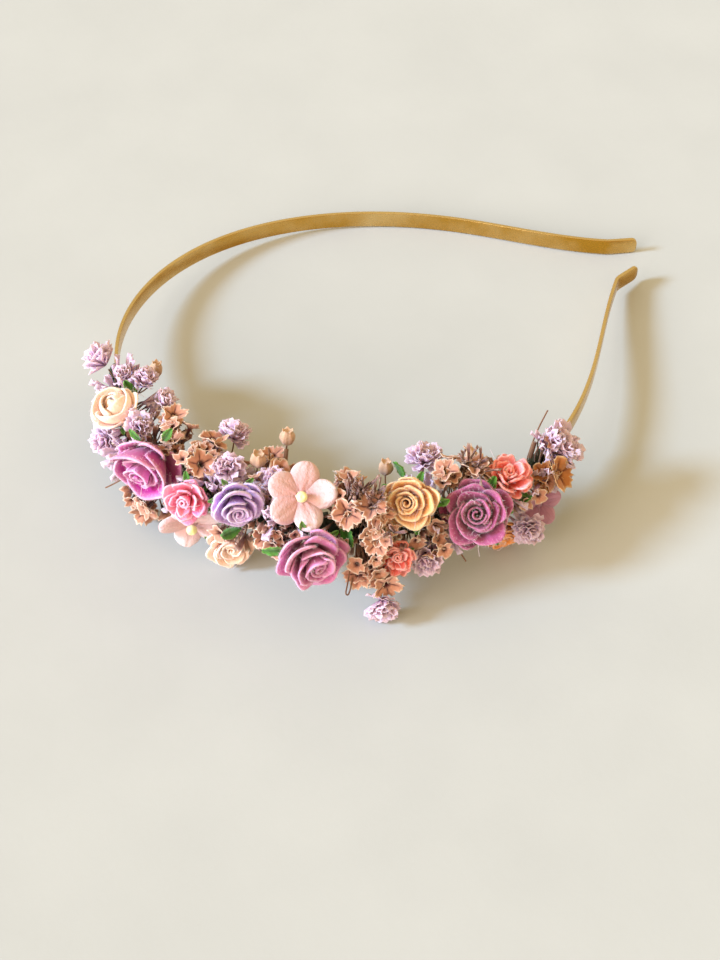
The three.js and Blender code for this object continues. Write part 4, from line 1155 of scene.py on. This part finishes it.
SEEDS = table(
    "name along around out turn lift size plump",
    ("seed_bud_1", 45, 140, 20, -174, 76, 4.2, 1), ("seed_bud_2", 77, 141, 13.5, 163, 76, 4, 1),
    ("seed_bud_3", 40, 115, 13.5, 157, 84, 4.4, 1), ("seed_bud_4", -15, 138, 12, -149, 74, 4.5, 0.85),
    ("seed_pod", 100, 104, 12.5, -166, 53, 6.5, 0.5))
SEED_BASE = 0.5
for index, row in enumerate(SEEDS):
    mesh = to_mesh("urn", urn(row["size"], row["plump"]))
    set_head("dried_", row["name"], mesh, row, index, PAPERS["seed_husk"], "beige", SEED_BASE)
print("seed heads:", len(SEEDS))

# %% Leaves
LEAF_WIDTH, LEAF_FOLD, LEAF_ARCH, LEAF_PAPER = 0.46, 0.08, 0.1, 0.25
LEAF_TOOTH, LEAF_RIPPLE = 0.1, 0.025


def leaf(size, tone=0.5, rows=15):
    """A leaf that stands along the facing axis, folded along its midrib."""
    u, v = grid(rows, 7)
    teeth = 1 + LEAF_TOOTH * np.where(np.arange(rows)[:, None] % 2, 1, -1) * np.abs(u) ** 3
    fullness = 0.1 + 0.9 * np.sin(np.pi * (0.02 + 0.93 * v)) ** 0.9
    across = u * fullness * LEAF_WIDTH / 2 * teeth
    ripple = LEAF_RIPPLE * np.sin(19 * v + 2 * u) * np.abs(u)
    rise = LEAF_FOLD * np.abs(u) + LEAF_ARCH * np.sin(np.pi * v) + ripple
    points = np.stack([across, rise, v - 0.5], -1) * size
    # The colour deepens towards the midrib, down in the fold: painted shade.
    return shell(points, LEAF_PAPER, 0.2 + 0.7 * np.abs(u), np.abs(u) ** 4, tone)


LEAVES = table(
    "along around out turn lift size tone",
    (-7, 87, 9, -69, 59, 12, 1.0), (65.5, 26, 8, 20, -30, 11, 0.7), (80, 133, 12, -127, 65, 10, 0.3),
    (88, 65, 10, 20, 40, 10, 0.2), (40, 8, 10.5, -25, 10, 10, 0.5), (107, 25, 9.5, 36, 29, 10, 0.6))
LEAF_BASE, LEAF_SHOWN = 0.5, 0.62
for index, row in enumerate(LEAVES):
    mesh = to_mesh("leaf", leaf(LEAF_SHOWN * row["size"], row["tone"]))
    set_head("paper_", f"leaf_{index + 1}", mesh, row, index, PAPERS["leaf_paper"], "green", LEAF_BASE)
print("leaves:", len(LEAVES))

# %% [markdown]
# ## Filling the gaps
# Between the heads the bundle is packed with short dried sprigs, bracts and petals, and each rose keeps the
# green sepals of its wire mount. None of them matters alone, so a table says roughly where they sit and
# chance does the rest: one shape of each kind is planted on many points with its own aim and size, and each
# stands on a thin stem of its own.

# %% A place for a tucked piece
SPOT_SPREAD, AIM_SPREAD, OUT_SPREAD = 0.5, 0.4, (-1.5, 1)
HEAD_BELOW, HEAD_REACH = 0.3, 0.55
BIG_HEADS = [(head_axes(row, index), row["size"])
             for rows in (ROSES, BLOSSOMS) for index, row in enumerate(rows)]


def tucked(chance, along, around, out, spread):
    """A place near a spot on the bundle, aimed outwards with some waywardness."""
    along = along + chance.normal(0, SPOT_SPREAD * spread)
    around = math.radians(around) + chance.normal(0, SPOT_SPREAD * spread) / out
    point, _, outward = band_at(along)
    radial = outward * math.cos(around) + UP * math.sin(around)
    aim = radial + chance.normal(0, AIM_SPREAD, 3)
    return point + radial * (out + chance.uniform(*OUT_SPREAD)), aim, np.cross(aim, chance.normal(0, 1, 3))


def inside_a_head(point):
    """Whether a point lies in the bowl of a rose or over a blossom, where nothing may be tucked."""
    for (centre, _, _, facing), size in BIG_HEADS:
        gap = point - centre
        above = gap @ facing
        if above > -HEAD_BELOW * size and np.linalg.norm(gap - above * facing) < HEAD_REACH * size:
            return True
    return False


# %% Tucked in by chance


def tuck(name, body, spots, sizes, finish, slot, seed):
    """Plants a body of unit size on spots of along, around, out, spread and count."""
    chance = np.random.default_rng(seed)
    places = []
    for *spot, count in spots:
        for _ in range(count):
            size = chance.uniform(*sizes)
            place = tucked(chance, *spot)
            if inside_a_head(place[0]):
                continue
            places.append((*place, (size, size, size)))
            stem_to_bundle(place[0], place[1] / np.linalg.norm(place[1]))
    keep(name, plant(body, places, PAPERS[finish], seed), PAPERS[finish], slot)
    print(name, len(places))


def thin(body, share):
    """The same shell with its paper thinned, for shapes of unit size that are scaled up later."""
    half = len(body["points"]) // 2
    front, back = body["points"][:half].copy(), body["points"][half:].copy()
    middle = (front + back) / 2
    body["points"] = np.concatenate([middle + (front - middle) * share, middle + (back - middle) * share])
    return body


# %% Where each kind is tucked
FLORET_SPOTS = (
    (50, -8, 8, 4, 6), (63, 8, 8, 4, 6), (86, 20, 7, 4, 6), (84, -8, 9, 4, 6), (35, -25, 8, 5, 6),
    (18, 92, 9.5, 7, 12), (27, 100, 10, 6, 10), (9, 114, 9, 5, 7), (45, 125, 10, 6, 9), (48, 10, 7, 5, 6),
    (67, 86, 11.5, 6, 10), (73, 40, 12, 5, 9), (70, -12, 12, 5, 14), (95, 92, 10.5, 6, 12),
    (115, 22, 9.5, 5, 9), (13, -45, 11, 5, 10), (52, -35, 8, 5, 5), (88, -12, 8, 5, 5))
EVERYWHERE = [(along, around, 6, 8, 2)
              for along in range(6, 113, 6) for around in (-15, 12, 40, 68, 95)]
FEATHER_SPOTS = ((67, 74, 13, 3, 30), (72, 67, 15.5, 3, 34), (76, 45, 13, 3, 20), (98, 86, 12.5, 3, 20))
LILAC_SPOTS = (
    (-16, 80, 5, 8, 22), (-6, 100, 5.5, 8, 20), (-2, 20, 5.5, 6, 14), (30, 105, 6.5, 7, 16),
    (46, 90, 6, 6, 14), (88, 120, 6, 5, 8), (86, -25, 6, 5, 12), (110, -25, 6, 6, 16), (119, 10, 5, 4, 14),
    (122, 62, 9, 4, 24), (5, 4, 8, 4, 14), (4, 75, 6, 5, 12), (22, 20, 7, 6, 12), (32, 60, 8, 6, 16),
    (48, 40, 7, 6, 16), (10, 20, 7, 6, 16), (116, 0, 8, 5, 14))
THINNED = 0.2
small_floret = thin(floret(1, seed=5, columns=16, rows=5), THINNED)
bract = thin(nicked_petal(1, 0.5, 0.14), THINNED)
feather = thin(nicked_petal(1, 0.15, 0.06), THINNED)
tuck("tucked_florets", small_floret, FLORET_SPOTS, (3.2, 5.4), "dried_calyx", "tan", seed=130)
tuck("tucked_bracts", bract, EVERYWHERE, (2.8, 5.0), "dried_bract", "beige", seed=131)
tuck("tucked_husks", bract, EVERYWHERE, (3.0, 5.0), "dried_calyx", "tan", seed=133)
tuck("tucked_feathers", feather, FEATHER_SPOTS, (4.0, 6.5), "dried_bract", "beige", seed=134)
tuck("tucked_petals", bract, LILAC_SPOTS, (4.0, 6.5), "lilac_petals", "lilac", seed=132)

# %% Sepals behind the roses
SEPALS, SEPAL_THINNED, SEPAL_SEED, SEPAL_TONE_SEED = 5, 0.12, 140, 141
SEPAL_OUT, SEPAL_BACK, SEPAL_SWING = 0.26, 0.22, 0.3
SEPAL_SIZES, SEPAL_LIFTS = (0.2, 0.34), (-0.2, 0.4)
places = []
chance = np.random.default_rng(SEPAL_SEED)
for index, row in enumerate(ROSES):
    centre, side, across, facing = head_axes(row, index)
    for number in range(SEPALS):
        angle = number * 2 * math.pi / SEPALS + chance.uniform(-SEPAL_SWING, SEPAL_SWING)
        flat = side * math.cos(angle) + across * math.sin(angle)
        foot = centre + row["size"] * (flat * SEPAL_OUT - facing * SEPAL_BACK)
        size = row["size"] * chance.uniform(*SEPAL_SIZES)
        aim = flat + facing * chance.uniform(*SEPAL_LIFTS)
        places.append((foot, aim, np.cross(facing, flat), (size, size, size)))
sepal = leaf(1)
sepal["points"] += UP / 2
sepals = plant(thin(sepal, SEPAL_THINNED), places, PAPERS["leaf_paper"], SEPAL_TONE_SEED)
keep("rose_sepals", sepals, PAPERS["leaf_paper"], "green")
print("sepals:", len(places))

# %% [markdown]
# ## The stems
# Every head stands on a wire or a dried stalk that runs back to the bundle. They are one set of lines, so
# one tree draws a round section along all of them. A few bare stalks stick out between the flowers. The
# roses' loose threads are drawn in the same way, only thinner.

# %% Drawing the stems
STEM_RADIUS, THREAD_RADIUS, CUT_RADIUS = 0.2, 0.045, 0.6
CORNER_CUTS, CUT_AT = 3, 0.25


def stalk(*stops):
    """A smooth line through places of along, around and out, by cutting its corners a few times."""
    points = []
    for along, around, out in stops:
        point, _, outward = band_at(along)
        around = math.radians(around)
        points.append(point + out * (outward * math.cos(around) + UP * math.sin(around)))
    line = np.array(points)
    for _ in range(CORNER_CUTS):
        near = (1 - CUT_AT) * line[:-1] + CUT_AT * line[1:]
        far = CUT_AT * line[:-1] + (1 - CUT_AT) * line[1:]
        line = np.concatenate([line[:1], np.stack([near, far], 1).reshape(-1, 3), line[-1:]])
    return line


BARE_STALKS = [
    stalk((117, 95, 3), (122, 100, 9), (127.5, 98, 13)), stalk((90, -28, 7), (91, -34, 11), (92, -38, 14)),
    stalk((66, -20, 12), (65.4, -30, 16), (65, -33, 18), (65.8, -34, 18.2), (66.5, -28, 14)),
    stalk((40, 115, 8), (43, 125, 13), (41, 130, 16)), stalk((8, -20, 10), (6, -28, 14), (5, -30, 16))]
THICK_STALKS = [stalk((48, 118, 6), (47, 132, 12), (46, 136, 17)), stalk((118, 88, 4), (120, 92, 8))]
for name, lines, radius, finish, slot in (
        ("stem_wires", STEM_LINES + BARE_STALKS, STEM_RADIUS, "dried_stalk", "beige"),
        ("loose_threads", THREAD_LINES, THREAD_RADIUS, "paper_fibre", "ivory"),
        ("cut_stalks", THICK_STALKS, CUT_RADIUS, "dried_stalk", "beige")):
    keep(name, draw_stems(lines, radius, PAPERS[finish]), PAPERS[finish], slot)
    print(name, len(lines))

# %% [markdown]
# ## Floor, light and camera
# The floor is pale and plain. The light is a low soft sun from the left, a second, much softer one that
# stands for a window further to the front, and a sky that fills the shadows. In the photo the shadows are
# warm and the lit floor is neutral, so the sky is warm and the sun is cool: together they give white.
# The camera looks down at the loop from the flowered side.

# %% Floor
FLOOR_SIDE = 9.0
floor_finish, tree, shader = new_material("pale_floor", Roughness=0.8, Specular_IOR_Level=0.2)
shade = ramp(tree, noise(tree, 30, 4), (0.3, "#afb1b3"), (0.7, "#b3b5b7"))
tree.links.new(shade, shader.inputs["Base Color"])
bump(tree, shader, noise(tree, 500, 4), 0.0001, 0.2)
floor_mesh = bpy.data.meshes.new("floor")
corners = [(x * FLOOR_SIDE, y * FLOOR_SIDE, 0) for x, y in ((-1, -1), (1, -1), (1, 1), (-1, 1))]
floor_mesh.from_pydata(corners, [], [(0, 1, 2, 3)])
floor_mesh.materials.append(floor_finish)
floor = bpy.data.objects.new("floor", floor_mesh)
bpy.context.scene.collection.objects.link(floor)
print("floor side in metres:", 2 * FLOOR_SIDE)

# %% Light
scene = bpy.context.scene
scene.view_settings.view_transform = "Standard"
SKY_COLOUR, SKY_STRENGTH = (1.0, 0.77, 0.4, 1), 1.05


def add_sun(name, energy, softness, tint, frontward, elevation):
    """A far light from the camera's left, turned towards the front. Its angles are in degrees."""
    lamp = bpy.data.lights.new(name, "SUN")
    lamp.energy = energy
    lamp.angle = math.radians(softness)
    lamp.color = tint
    lamp_object = bpy.data.objects.new(name, lamp)
    way = direction(CAMERA_AZIMUTH - math.pi / 2 + math.radians(frontward), math.radians(elevation))
    lamp_object.rotation_euler = way.to_track_quat("-Z", "Y").to_euler()
    scene.collection.objects.link(lamp_object)


add_sun("sun", energy=4.6, softness=13, tint=(0.53, 0.75, 1.0), frontward=8, elevation=31)
add_sun("window", energy=3.1, softness=50, tint=(1.0, 0.93, 0.88), frontward=35, elevation=20)
world = bpy.data.worlds.new("room")
world.use_nodes = True
world.node_tree.nodes["Background"].inputs["Color"].default_value = SKY_COLOUR
world.node_tree.nodes["Background"].inputs["Strength"].default_value = SKY_STRENGTH
scene.world = world
print("lights:", [lamp.name for lamp in bpy.data.lights])

# %% Camera
CAMERA_AIM = Vector((-24.0, -23.3, 0)) * MM
CAMERA_DISTANCE = 534 * MM
IMAGE_HEIGHT, FOCAL_PIXELS = 960, 2000
camera = bpy.data.cameras.new("camera")
camera.sensor_fit = "VERTICAL"
camera.sensor_height = 36
camera.lens = FOCAL_PIXELS / IMAGE_HEIGHT * camera.sensor_height
camera_object = bpy.data.objects.new("camera", camera)
camera_object.location = CAMERA_AIM - LOOK * CAMERA_DISTANCE
camera_object.rotation_euler = LOOK.to_track_quat("-Z", "Y").to_euler()
scene.collection.objects.link(camera_object)
scene.camera = camera_object
print("camera at", np.round(np.array(camera_object.location), 3))
